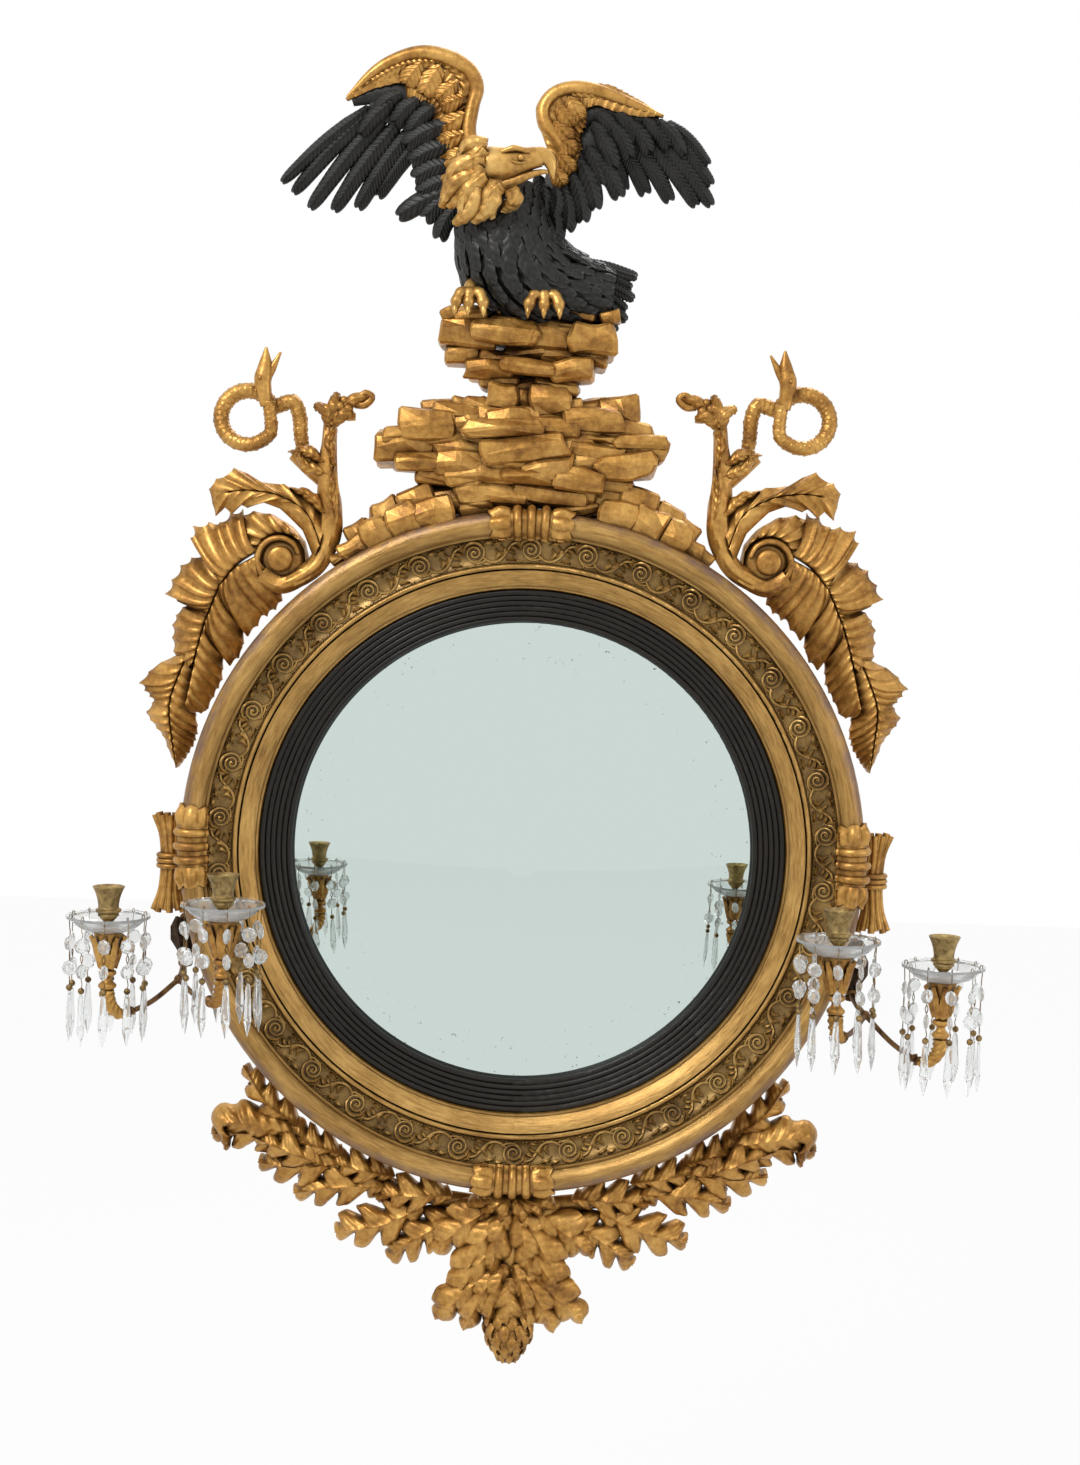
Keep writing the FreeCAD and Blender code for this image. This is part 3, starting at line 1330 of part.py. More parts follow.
def lustres(kind):
    """The glass and the brass of all the drops of one pan."""
    glass = []
    brass = []
    for i in range(drop_count):
        hook = drop_place(kind, i)
        angle = drop_angle(kind, i)
        outward = V(math.cos(angle), math.sin(angle), 0)
        sidewards = V(-math.sin(angle), math.cos(angle), 0)
        first = hook - UP * button_first_drop
        second = first - UP * button_pitch
        ball_centre = second - UP * (button_radius + 13.5)
        prism_top = ball_centre - UP * (ball_radius * 0.9 + 0.05)
        glass.append(button(first, outward, sidewards))
        glass.append(button(second, outward, sidewards))
        glass.append(prism(prism_top, outward, sidewards))
        reach = button_radius + 0.05
        brass.append(link(hook + UP * 3.0, first + UP * reach))
        brass.append(link(first - UP * reach, second + UP * reach))
        brass.append(link(second - UP * reach, ball_centre + UP * ball_radius * 0.8).fuse(ball(ball_centre)))
    return glass, brass


# ---------------------------------------------------------------- the whole mirror
ring_solid = frame_ring()
save("frame_ring", ring_solid)
save("frieze_band", frieze_band())
save("ebonised_slip", ebonised_slip())
save("mirror_plate", mirror_plate())
save("glazing_blocks", glazing_blocks())
save("backboard", backboard())
save("backboard_screws", backboard_screws())
save("hanging_plates", [hanging_plate(-1), hanging_plate(1)])
save("frame_back_screws", frame_back_screws())
ferrules = {}
for ferrule_name, ferrule_angle in zip(("top", "right", "bottom", "left"), ferrule_angles):
    ferrules[ferrule_name] = ferrule(ferrule_angle, ring_solid)
    save("ferrule_" + ferrule_name, ferrules[ferrule_name])
left_bundle = reed_bundle()
save("reed_bundle_left", left_bundle)
save("reed_bundle_right", mirrored(left_bundle))

rock_stack = rockwork()
save("rockwork", rock_stack)
eagle_trunk = eagle_body()
save("eagle_body", eagle_trunk.cut(rock_stack))
save("eagle_head", eagle_head())
save("eagle_wing_left", eagle_wing_left())
save("eagle_wing_right", eagle_wing_right())
save("eagle_feet", eagle_feet())

left_scroll = scroll()
middle_pendant = apron_pendant()
left_pieces = {
    "scroll": left_scroll,
    "serpent": serpent(),
    "bud_spray": bud_spray(),
    "acanthus": acanthus(),
}
for piece_name, piece in left_pieces.items():
    save(piece_name + "_left", piece)
    twin = mirrored(piece)
    twin.rotate(CENTRE, WALL_AXIS, -scroll_turn_right)
    save(piece_name + "_right", twin)
left_spray = apron_spray()
save("apron_spray_left", main_solid(left_spray.cut(middle_pendant)))
save("apron_spray_right", main_solid(mirrored(left_spray).cut(middle_pendant)))
save("apron_pendant", middle_pendant)

for arm_side, side_name in ((-1, "left"), (1, "right")):
    save("arm_bracket_" + side_name, arm_bracket(arm_side))
    save("arm_" + side_name, arm(arm_side))
for candle in rim_heights:
    drop_glass, drop_brass = lustres(candle)
    save("horn_" + candle, horn(candle))
    save("candle_cup_" + candle, candle_cup(candle))
    save("nozzle_" + candle, nozzle(candle))
    save("drip_pan_" + candle, drip_pan(candle))
    save("drop_glass_" + candle, drop_glass)
    save("drop_links_" + candle, drop_brass)
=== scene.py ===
"""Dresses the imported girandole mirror: carved gilt pieces, ebonised eagle, cut glass and its studio stage.

Shapes are worked out in millimetres in the part's own frame: the ring's centre at the wall is the
origin, the wall is the plane y = 0, the mirror stands towards -Y and +Z is up. "Depth" is the distance
in front of the wall, an angle runs clockwise from the ring's top, and "out" is outside its edge.
"""

import math
import random

import bpy
from mathutils import Matrix, Vector, noise


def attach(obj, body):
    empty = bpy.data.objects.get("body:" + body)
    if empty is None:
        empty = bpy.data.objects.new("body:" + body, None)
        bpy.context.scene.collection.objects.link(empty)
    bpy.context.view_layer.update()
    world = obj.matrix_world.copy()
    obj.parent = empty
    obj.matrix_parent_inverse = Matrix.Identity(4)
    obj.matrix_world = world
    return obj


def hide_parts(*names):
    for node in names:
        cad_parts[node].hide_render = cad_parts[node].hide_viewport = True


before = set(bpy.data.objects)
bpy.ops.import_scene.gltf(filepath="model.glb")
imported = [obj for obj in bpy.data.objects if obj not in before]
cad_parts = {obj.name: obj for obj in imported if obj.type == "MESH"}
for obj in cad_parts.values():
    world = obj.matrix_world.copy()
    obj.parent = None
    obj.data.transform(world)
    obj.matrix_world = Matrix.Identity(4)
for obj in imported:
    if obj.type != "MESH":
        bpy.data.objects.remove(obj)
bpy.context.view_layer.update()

bl_info = {
    "name": "Girandole Mirror",
    "version": (1, 0, 0),
    "blender": (4, 5, 0),
    "location": "3D View > Sidebar > Girandole",
    "description": "Models the carved, gilt and glass pieces of a convex girandole mirror",
    "category": "Add Mesh",
}

MM = 0.001
FRONT = Vector((0, -1, 0))
UP = Vector((0, 0, 1))
RIGHT = Vector((1, 0, 0))
RING = 392.0
CREST = 610.0
CANDLES = {
    "outer_left": (-455.25, -155.8, -37.0, -1),
    "inner_left": (-323.23, -190.51, -15.0, -1),
    "outer_right": (473.26, -145.7, -67.0, 1),
    "inner_right": (347.35, -198.44, -33.0, 1),
}
FORKS = {-1: Vector((-386.98, -93.82, -150.8)), 1: Vector((397.02, -93.82, -168.8))}
HUBS = {-1: Vector((-392.0, -22.0, -140.8)), 1: Vector((392.0, -22.0, -158.8))}
HORN_DROP = 146.0
HORN_FOOT = 24.0


# ---------------------------------------------------------------- places
def at(angle, out, depth):
    """The point at an angle round the ring, out from its edge and at a depth."""
    turn = math.radians(angle)
    reach = RING + out
    return Vector((reach * math.sin(turn), -depth, reach * math.cos(turn)))


def spot(x, z, depth):
    return Vector((x, -depth, z))


def blend(values, share):
    """The value at a share of the way along a short list."""
    if len(values) == 1:
        return values[0]
    place = min(max(share, 0.0), 1.0) * (len(values) - 1)
    low = min(int(place), len(values) - 2)
    part = place - low
    return values[low] + (values[low + 1] - values[low]) * part


class Path:
    """A smooth line through points, with its place, direction and side at each share of its length."""

    def __init__(self, points, front=FRONT, steps=14):
        ends = [points[0] * 2 - points[1]] + list(points) + [points[-1] * 2 - points[-2]]
        self.places = []
        for i in range(1, len(ends) - 2):
            a, b, c, d = ends[i - 1], ends[i], ends[i + 1], ends[i + 2]
            for k in range(steps):
                t = k / steps
                self.places.append(0.5 * (b * 2 + (c - a) * t + (a * 2 - b * 5 + c * 4 - d) * t * t
                                          + (b * 3 - a - c * 3 + d) * t * t * t))
        self.places.append(points[-1].copy())
        self.shares = [0.0]
        for a, b in zip(self.places, self.places[1:]):
            self.shares.append(self.shares[-1] + (b - a).length)
        self.length = self.shares[-1]
        self.shares = [s / self.length for s in self.shares]
        self.front = front
        self.found = 0

    def at(self, share):
        """Place, direction, side and front at a share of the length."""
        share = min(max(share, 0.0), 1.0)
        i = self.found
        if self.shares[i] > share:
            i = 0
        while i < len(self.shares) - 2 and self.shares[i + 1] < share:
            i += 1
        self.found = i
        a, b = self.places[i], self.places[i + 1]
        span = max(self.shares[i + 1] - self.shares[i], 1e-9)
        along = (b - a).normalized()
        side = along.cross(self.front).normalized()
        return a + (b - a) * ((share - self.shares[i]) / span), along, side, side.cross(along)


# ---------------------------------------------------------------- mesh tools
def clear():
    bpy.ops.object.select_all(action="DESELECT")


def pick(objects):
    clear()
    for obj in objects:
        obj.select_set(True)
    bpy.context.view_layer.objects.active = objects[0]


def edit(obj, *steps):
    """Select all of a mesh and run edit-mode steps on it."""
    pick([obj])
    bpy.ops.object.mode_set(mode="EDIT")
    bpy.ops.mesh.select_all(action="SELECT")
    for step in steps:
        step()
    bpy.ops.object.mode_set(mode="OBJECT")


def merge_and_fill():
    bpy.ops.mesh.remove_doubles(threshold=0.00001)
    bpy.ops.mesh.select_all(action="DESELECT")
    bpy.ops.mesh.select_non_manifold(extend=False)
    bpy.ops.mesh.edge_face_add()
    bpy.ops.mesh.select_all(action="SELECT")


def outward():
    bpy.ops.mesh.normals_make_consistent(inside=False)


def grid(columns, rows, place):
    """A grid whose points go to place(along, across), along from 0 to 1 and across from -1 to 1."""
    clear()
    bpy.ops.mesh.primitive_grid_add(x_subdivisions=columns, y_subdivisions=rows, size=1)
    obj = bpy.context.active_object
    for vertex in obj.data.vertices:
        vertex.co = place(vertex.co.x + 0.5, vertex.co.y * 2) * MM
    return obj


def joined(objects, name):
    pick(objects)
    if len(objects) > 1:
        bpy.ops.object.join()
    obj = bpy.context.active_object
    obj.name = name
    obj.data.name = name
    return obj


def solidified(obj, thickness):
    """Give a sheet of leaves its thickness, towards its back."""
    pick([obj])
    skin = obj.modifiers.new("thickness", "SOLIDIFY")
    skin.thickness = thickness * MM
    skin.offset = -1
    bpy.ops.object.modifier_apply(modifier=skin.name)
    edit(obj, outward)
    return obj


def thickened(obj, thickness):
    """Give a sheet of carving its thickness, straight back towards the wall."""
    edit(obj, lambda: bpy.ops.mesh.extrude_region_move(TRANSFORM_OT_translate={"value": (0, thickness * MM, 0)}),
         lambda: bpy.ops.mesh.select_all(action="SELECT"), outward)
    return obj


def smooth(obj, angle=50):
    pick([obj])
    bpy.ops.object.shade_smooth_by_angle(angle=math.radians(angle))
    return obj


def dress(obj, body, slot, material, *nodes):
    """Put a finished piece on its body, in place of the nodes it stands for."""
    obj.data.materials.clear()
    obj.data.materials.append(material)
    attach(obj, body)
    if nodes:
        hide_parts(*nodes)
    return obj


def twin(obj, name, turn=0.0):
    """The piece's twin on the other side of the ring, turned towards the ring's top."""
    pick([obj])
    bpy.ops.object.duplicate()
    other = bpy.context.active_object
    other.name = name
    other.data.name = name
    other.data.transform(Matrix.Rotation(math.radians(-turn), 4, "Y") @ Matrix.Scale(-1, 4, RIGHT))
    edit(other, bpy.ops.mesh.flip_normals)
    return other


def paint(node, material):
    """Give a CAD node a better material."""
    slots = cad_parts[node].data.materials
    if len(slots):
        slots[0] = material
    else:
        slots.append(material)


# ---------------------------------------------------------------- carving tools
def leaf(points, left, right, columns=30, rows=8, lobes=0.0, cut=0.0, flutes=0.0, groove=0.0,
         lean=(25, 70), rise=4.0, curl=0.0, rib=1.2, valley=0.0, front=FRONT, shift=0.0, ragged=0.0, tip=0.0, notch=1.6):
    """A carved leaf or feather: flutes run out from its midrib to a lobed edge."""
    path = Path(points, front)

    def place(along, across):
        middle, ahead, side, face = path.at(along)
        hand = 1 if across > 0 else -1
        reach = blend(right if hand > 0 else left, along)
        turn = math.radians(lean[0] + (lean[1] - lean[0]) * along)
        wave = 0.5 + 0.5 * math.cos(math.tau * (lobes * along + shift + 0.25 * hand * (lobes > 0)))
        reach *= 1 - cut * (1 - wave) ** notch
        if ragged:
            reach *= 1 - ragged * (0.5 + 0.5 * math.cos(math.tau * flutes * along))
        if along > 1 - tip:
            reach *= math.sqrt(max(0.0, 1 - ((along - 1 + tip) / tip) ** 2))
        out = abs(across)
        height = rise * (1 - out * out) + rib * math.exp(-((out / 0.09) ** 2)) - curl * out ** 3
        height += groove * math.cos(math.tau * flutes * along) * min(1.0, out * 3.0) * (1 - 0.35 * out)
        height -= valley * (1 - wave) * out
        ray = side * (hand * math.cos(turn)) + ahead * math.sin(turn)
        return middle + ray * (reach * out) + face * height

    return grid(max(columns, int(flutes * 5)), 2 * rows, place)


def line(points, depth=0.0):
    """Points given as x, z and maybe a depth of their own."""
    return [spot(p[0], p[1], p[2] if len(p) > 2 else depth) for p in points]


def blade(root, edge, flutes=8, groove=1.6, sweep=0.35, rise=6.0, curl=4.0, teeth=0.04, rows=10, dip=2.5):
    """Half of a carved leaf, from its midrib to a drawn outline, with sharp-ridged flutes that sweep between them."""
    path = Path(root)

    def place(along, across):
        out = (across + 1) / 2
        middle, ahead, side, face = path.at(along)
        tip = blend(edge, along)
        reach = (tip - middle).length
        ridge = 1 - abs(math.sin(math.pi * flutes * along)) ** 0.8
        tip = tip + (tip - middle) * (teeth * (ridge - 0.6))
        bend = middle + ahead * (reach * sweep)
        point = middle * (1 - out) ** 2 + bend * (2 * out * (1 - out)) + tip * out ** 2
        height = rise * math.sin(math.pi * min(1.0, out * 0.85)) - curl * out ** 3 - dip * math.exp(-((out / 0.08) ** 2))
        height += groove * (ridge - 0.4) * min(1.0, out * 2.5)
        return point + FRONT * height

    return grid(int(max(24, flutes * 6)), rows, place)


def tube(points, radii, sides=12, rings=24, ribs=0, rib_height=0.0, twist=0.0, flat=1.0, front=FRONT,
         scales=0.0, steps=14):
    """A closed bar along a smooth line, plain, ribbed, twisted, flattened or scaled."""
    path = Path(points, front, steps)
    turns = path.length / 11.0

    def place(along, across):
        middle, ahead, side, face = path.at(along)
        angle = math.pi * across
        radius = blend(radii, along)
        if ribs:
            radius *= 1 + rib_height * math.cos(ribs * (angle + math.radians(twist) * along))
        if scales:
            row = along * turns
            cell = angle * 3 / math.pi + 0.5 * (int(row * 2) % 2)
            radius += scales * (row * 2 - int(row * 2)) * (1 - abs(2 * (cell - math.floor(cell)) - 1))
        return middle + side * (radius * math.cos(angle)) + face * (radius * flat * math.sin(angle))

    obj = grid(rings, sides, place)
    edit(obj, merge_and_fill, outward)
    return obj


def lathe(profile, centre, sides=24, rings=24, axis=UP, lobes=0, depth=0.0, lean=0.0, eased_profile=True):
    """A turned piece from a list of radius and height, with optional gadroons."""
    outline = [Vector((radius, 0, height)) for radius, height in profile]
    path = Path(outline, FRONT) if eased_profile else None
    side = axis.orthogonal().normalized()
    other = axis.cross(side)

    def place(along, across):
        if path:
            here = path.at(along)[0]
        else:
            here = Vector((blend([p.x for p in outline], along), 0, blend([p.z for p in outline], along)))
        radius = max(here.x, 0.0)
        angle = math.pi * across
        if lobes:
            radius *= 1 + depth * abs(math.cos(lobes * 0.5 * (angle + lean * along)))
        return centre + side * (radius * math.cos(angle)) + other * (radius * math.sin(angle)) + axis * here.z

    obj = grid(rings, sides, place)
    edit(obj, merge_and_fill, outward)
    return obj


def bead(centre, radius, sides=10, rings=6, flat=1.0, axis=FRONT):
    """A small carved ball."""
    profile = [(radius * math.sin(math.pi * k / 6), -radius * flat * math.cos(math.pi * k / 6)) for k in range(7)]
    return lathe(profile, centre, sides, rings, axis)


# ---------------------------------------------------------------- materials
class Mixer:
    """Builds one node material."""

    def __init__(self, name):
        self.material = bpy.data.materials.new(name)
        self.material.use_nodes = True
        self.tree = self.material.node_tree
        self.shader = self.tree.nodes["Principled BSDF"]
        self.coords = self.tree.nodes.new("ShaderNodeTexCoord").outputs["Object"]

    def node(self, kind, **values):
        made = self.tree.nodes.new("ShaderNode" + kind)
        for key, value in values.items():
            setattr(made, key, value)
        return made

    def link(self, source, target):
        self.tree.links.new(source, target)

    def noise(self, scale, detail=5.0, rough=0.6, vector=None):
        made = self.node("TexNoise")
        made.inputs["Scale"].default_value = scale
        made.inputs["Detail"].default_value = detail
        made.inputs["Roughness"].default_value = rough
        self.link(vector or self.coords, made.inputs["Vector"])
        return made.outputs["Fac"]

    def ramp(self, source, *stops):
        made = self.node("ValToRGB")
        band = made.color_ramp
        while len(band.elements) < len(stops):
            band.elements.new(0.5)
        for element, (place, colour) in zip(band.elements, stops):
            element.position = place
            element.color = (*colour, 1) if isinstance(colour, tuple) else (colour, colour, colour, 1)
        self.link(source, made.inputs["Fac"])
        return made.outputs["Color"]

    def math(self, operation, a, b=0.0, clamp=False):
        made = self.node("Math", operation=operation, use_clamp=clamp)
        for socket, value in zip(made.inputs, (a, b)):
            if isinstance(value, (int, float)):
                socket.default_value = value
            else:
                self.link(value, socket)
        return made.outputs[0]

    def mix(self, share, a, b, blend_type="MIX"):
        made = self.node("Mix", data_type="RGBA", blend_type=blend_type)
        for socket, value in ((made.inputs[0], share), (made.inputs[6], a), (made.inputs[7], b)):
            if isinstance(value, (int, float)):
                socket.default_value = value
            elif isinstance(value, tuple):
                socket.default_value = (*value, 1)
            else:
                self.link(value, socket)
        return made.outputs[2]

    def crevice(self, distance):
        made = self.node("AmbientOcclusion", samples=6)
        made.inputs["Distance"].default_value = distance
        return made.outputs["AO"]

    def bump(self, height, strength, distance):
        made = self.node("Bump")
        made.inputs["Strength"].default_value = strength
        made.inputs["Distance"].default_value = distance
        self.link(height, made.inputs["Height"])
        self.link(made.outputs["Normal"], self.shader.inputs["Normal"])

    def polar(self, radial, round_scale):
        """Coordinates that run round the ring, for streaks along its mouldings, and the radius itself."""
        parts = self.node("SeparateXYZ")
        self.link(self.coords, parts.inputs[0])
        x, y, z = parts.outputs
        radius = self.math("SQRT", self.math("ADD", self.math("MULTIPLY", x, x), self.math("MULTIPLY", z, z)))
        angle = self.math("ARCTAN2", x, z)
        combined = self.node("CombineXYZ")
        self.link(self.math("MULTIPLY", radius, radial), combined.inputs[0])
        self.link(self.math("MULTIPLY", angle, round_scale), combined.inputs[1])
        self.link(self.math("MULTIPLY", y, radial * 0.5), combined.inputs[2])
        return combined.outputs[0], radius

    def set(self, **values):
        for key, value in values.items():
            socket = self.shader.inputs[key.replace("_", " ")]
            socket.default_value = (*value, 1) if isinstance(value, tuple) else value


GOLD_LIGHT = (0.66, 0.37, 0.095)
GOLD = (0.42, 0.205, 0.040)
GOLD_DEEP = (0.19, 0.080, 0.016)
SHADOW = (0.036, 0.015, 0.005)
BOLE = (0.17, 0.058, 0.026)
MAUVE = (0.20, 0.125, 0.095)


def gilding(name, light=GOLD_LIGHT, middle=GOLD, deep=GOLD_DEEP, cavity=0.012, painted_shade=0.85, worn=0.5):
    """Old water gilding: patchy gold, red bole on the high edges and painted shade darkening the hollows."""
    m = Mixer(name)
    patches = m.noise(22, 7, 0.62)
    fine = m.noise(170, 5, 0.6)
    tone = m.math("ADD", m.math("MULTIPLY", patches, 0.7), m.math("MULTIPLY", fine, 0.3))
    colour = m.ramp(tone, (0.34, deep), (0.46, middle), (0.60, light))
    geometry = m.node("NewGeometry")
    edges = m.ramp(geometry.outputs["Pointiness"], (0.50, 0.0), (0.58, 1.0))
    rubbed = m.math("MULTIPLY", edges, m.ramp(m.noise(60, 6, 0.7), (0.50, 0.0), (0.62, 1.0)))
    colour = m.mix(m.math("MULTIPLY", rubbed, worn), colour, BOLE)
    # Painted shade: the colour darkens towards SHADOW in the hollows found by ambient occlusion, standing in for the
    # shade that falls there.
    shade = m.ramp(m.crevice(cavity), (0.25, 1.0), (0.92, 0.0))
    colour = m.mix(m.math("MULTIPLY", shade, painted_shade), colour, SHADOW)
    m.link(colour, m.shader.inputs["Base Color"])
    m.link(m.ramp(m.noise(90, 4), (0.3, 0.30), (0.75, 0.52)), m.shader.inputs["Roughness"])
    m.set(Metallic=0.62, Specular_IOR_Level=0.5)
    m.bump(m.math("ADD", m.math("MULTIPLY", m.noise(420, 3), 0.4), m.noise(60, 5)), 0.35, 0.0012)
    return m.material


def ring_gilding():
    """Gilding on the turned ring: streaks run round it and its outer edge is rubbed to a mauve grey."""
    m = Mixer("ring_gilding")
    streak_coords, radius = m.polar(260, 9)
    streaks = m.noise(1.6, 8, 0.65, streak_coords)
    patches = m.noise(14, 6, 0.6)
    tone = m.math("ADD", m.math("MULTIPLY", streaks, 0.6), m.math("MULTIPLY", patches, 0.4))
    colour = m.ramp(tone, (0.33, (0.19, 0.095, 0.022)), (0.47, (0.39, 0.215, 0.055)), (0.64, (0.62, 0.375, 0.115)))
    cuts = []
    for place in (0.3095, 0.3145, 0.3185, 0.3225, 0.3720, 0.3858):
        cuts += [(place - 0.0011, 0.0), (place, 1.0), (place + 0.0011, 0.0)]
    # Painted shade: thin dark lines at the radii of the moulding's steps stand in for the shade in its grooves; the
    # same mask also sinks the bump along them.
    shaded_groove_lines = m.ramp(radius, *cuts)
    colour = m.mix(m.math("MULTIPLY", shaded_groove_lines, 0.7), colour, (0.11, 0.055, 0.018))
    edge = m.ramp(radius, (0.379, 0.0), (0.3875, 1.0))
    edge = m.math("MULTIPLY", edge, m.ramp(m.noise(26, 6, 0.7, None), (0.40, 0.15), (0.58, 0.95)))
    colour = m.mix(edge, colour, MAUVE)
    shade = m.ramp(m.crevice(0.010), (0.30, 1.0), (0.90, 0.0))
    colour = m.mix(m.math("MULTIPLY", shade, 0.85), colour, SHADOW)
    m.link(colour, m.shader.inputs["Base Color"])
    m.link(m.ramp(streaks, (0.3, 0.26), (0.7, 0.46)), m.shader.inputs["Roughness"])
    m.set(Metallic=0.62)
    height = m.math("ADD", streaks, m.math("MULTIPLY", m.noise(350, 3), 0.3))
    m.bump(m.math("SUBTRACT", height, m.math("MULTIPLY", shaded_groove_lines, 1.2)), 0.45, 0.0012)
    return m.material


def black_wood(name, low, high, roughness, along_ring=False):
    """Worn black lacquer or paint over carved wood."""
    m = Mixer(name)
    if along_ring:
        coords, radius = m.polar(240, 6)
        grain = m.noise(1.5, 7, 0.6, coords)
    else:
        grain = m.noise(70, 7, 0.65)
    colour = m.ramp(grain, (0.35, low), (0.68, high))
    geometry = m.node("NewGeometry")
    edges = m.ramp(geometry.outputs["Pointiness"], (0.50, 0.0), (0.60, 1.0))
    colour = m.mix(m.math("MULTIPLY", edges, 0.55), colour, tuple(c * 2.6 for c in high))
    shade = m.ramp(m.crevice(0.008), (0.2, 1.0), (0.85, 0.0))
    colour = m.mix(m.math("MULTIPLY", shade, 0.8), colour, tuple(c * 0.3 for c in low))
    m.link(colour, m.shader.inputs["Base Color"])
    m.link(m.ramp(grain, (0.3, roughness), (0.7, roughness + 0.16)), m.shader.inputs["Roughness"])
    m.set(Specular_IOR_Level=0.30)
    m.bump(m.math("ADD", grain, m.math("MULTIPLY", m.noise(500, 2), 0.3)), 0.3, 0.0008)
    return m.material


def silvered_glass():
    """Convex mirror plate with specks of lost silvering near its edge."""
    m = Mixer("silvered_glass")
    coords, radius = m.polar(60, 5)
    specks = m.ramp(m.noise(150, 3, 0.7), (0.665, 0.0), (0.70, 1.0))
    rim = m.ramp(radius, (0.205, 0.0), (0.268, 1.0))
    lost = m.math("MULTIPLY", specks, rim)
    colour = m.mix(lost, (0.597, 0.682, 0.650), (0.10, 0.085, 0.07))
    m.link(colour, m.shader.inputs["Base Color"])
    m.link(m.ramp(lost, (0.0, 0.015), (1.0, 0.6)), m.shader.inputs["Roughness"])
    m.set(Metallic=1.0)
    return m.material


def old_metal(name, dark, light, roughness=0.38, scale=120, metallic=0.9):
    """Handled metal, dark in its hollows and brighter where it is rubbed."""
    m = Mixer(name)
    stain = m.noise(scale, 6, 0.65)
    colour = m.ramp(stain, (0.36, dark), (0.64, light))
    shade = m.ramp(m.crevice(0.006), (0.25, 1.0), (0.9, 0.0))
    colour = m.mix(m.math("MULTIPLY", shade, 0.75), colour, tuple(c * 0.25 for c in dark))
    m.link(colour, m.shader.inputs["Base Color"])
    m.link(m.ramp(stain, (0.3, roughness), (0.7, roughness + 0.2)), m.shader.inputs["Roughness"])
    m.set(Metallic=metallic)
    m.bump(stain, 0.25, 0.0006)
    return m.material


def lead_glass(name, colour):
    """Clear cut glass with faint ripples."""
    m = Mixer(name)
    m.set(Base_Color=colour, Roughness=0.02, IOR=1.50, Transmission_Weight=0.80)
    m.bump(m.noise(140, 2), 0.15, 0.0004)
    return m.material


def bare_pine():
    m = Mixer("bare_pine")
    parts = m.node("Mapping")
    m.link(m.coords, parts.inputs["Vector"])
    parts.inputs["Scale"].default_value = (55, 55, 3.5)
    grain = m.noise(1.2, 8, 0.6, parts.outputs["Vector"])
    m.link(m.ramp(grain, (0.35, (0.20, 0.105, 0.045)), (0.52, (0.36, 0.21, 0.10)), (0.68, (0.48, 0.30, 0.155))),
           m.shader.inputs["Base Color"])
    m.link(m.ramp(grain, (0.3, 0.62), (0.7, 0.8)), m.shader.inputs["Roughness"])
    m.bump(grain, 0.3, 0.0008)
    return m.material


class Finishes:
    """The materials, made once before the pieces."""

    made = {}

    @classmethod
    def make(cls):
        cls.made = {
            "gilt": gilding("carved_gilding"),
            "rock": gilding("rock_gilding", cavity=0.016, worn=0.35),
            "frieze": gilding("frieze_gilding", (0.52, 0.32, 0.095), (0.34, 0.195, 0.052), (0.17, 0.092, 0.026), 0.004, 0.85, 0.1),
            "ground": gilding("frieze_ground", (0.32, 0.195, 0.058), (0.20, 0.118, 0.034), (0.10, 0.056, 0.016), 0.005, 0.9, 0.0),
            "pale": gilding("pale_gilding", (0.80, 0.50, 0.16), (0.60, 0.335, 0.085), (0.30, 0.14, 0.032), 0.010, 0.85, 0.3),
            "ring": ring_gilding(),
            "slip": black_wood("ebonised_slip", (0.0040, 0.0030, 0.0020), (0.0150, 0.0105, 0.0060), 0.32, True),
            "black": black_wood("blackened_plumage", (0.0060, 0.0058, 0.0054), (0.0220, 0.0215, 0.0200), 0.36),
            "mirror": silvered_glass(),
            "brass": old_metal("nozzle_brass", (0.17, 0.112, 0.042), (0.50, 0.36, 0.15)),
            "bronze": old_metal("arm_bronze", (0.075, 0.035, 0.015), (0.26, 0.145, 0.06)),
            "iron": old_metal("bracket_iron", (0.022, 0.014, 0.010), (0.10, 0.065, 0.04), 0.5),
            "wire": old_metal("drop_wire", (0.08, 0.05, 0.022), (0.38, 0.25, 0.10)),
            "glass": lead_glass("cut_glass", (0.97, 0.985, 0.98)),
            "pine": bare_pine(),
        }


def finish(name):
    return Finishes.made[name]


# ---------------------------------------------------------------- settings
class GirandoleCarving(bpy.types.PropertyGroup):
    """Sizes of the carved ornament."""

    leaf_thickness: bpy.props.FloatProperty(name="Leaf thickness", description="Thickness of the carved leaves, in millimetres", default=5.0, min=2.0, max=9.0)
    feather_thickness: bpy.props.FloatProperty(name="Feather thickness", description="Thickness of the carved feathers, in millimetres", default=4.0, min=2.0, max=8.0)
    scroll_turn: bpy.props.FloatProperty(name="Right scroll turn", description="How far the right scroll sits nearer the top than the left one", default=math.radians(2.5), subtype="ANGLE")
    scroll_count: bpy.props.IntProperty(name="Frieze scrolls", description="Number of scrolls round the frieze", default=34, min=12, max=60)


class GirandoleLustres(bpy.types.PropertyGroup):
    """Sizes of the candle arms' glass."""

    drops: bpy.props.IntProperty(name="Drops", description="Number of drops round each pan", default=10, min=4, max=16)
    button_radius: bpy.props.FloatProperty(name="Button radius", description="Radius of the cut buttons, in millimetres", default=8.6)
    prism_length: bpy.props.FloatProperty(name="Prism length", description="Length of the spear prisms, in millimetres", default=58.0)


class GirandoleStage(bpy.types.PropertyGroup):
    """The studio."""

    floor_colour: bpy.props.FloatVectorProperty(name="Floor colour", description="Colour of the plain floor", subtype="COLOR", size=3, default=(0.93, 0.93, 0.925))
    lens: bpy.props.FloatProperty(name="Lens", description="Focal length of the camera, in millimetres", default=50.0)


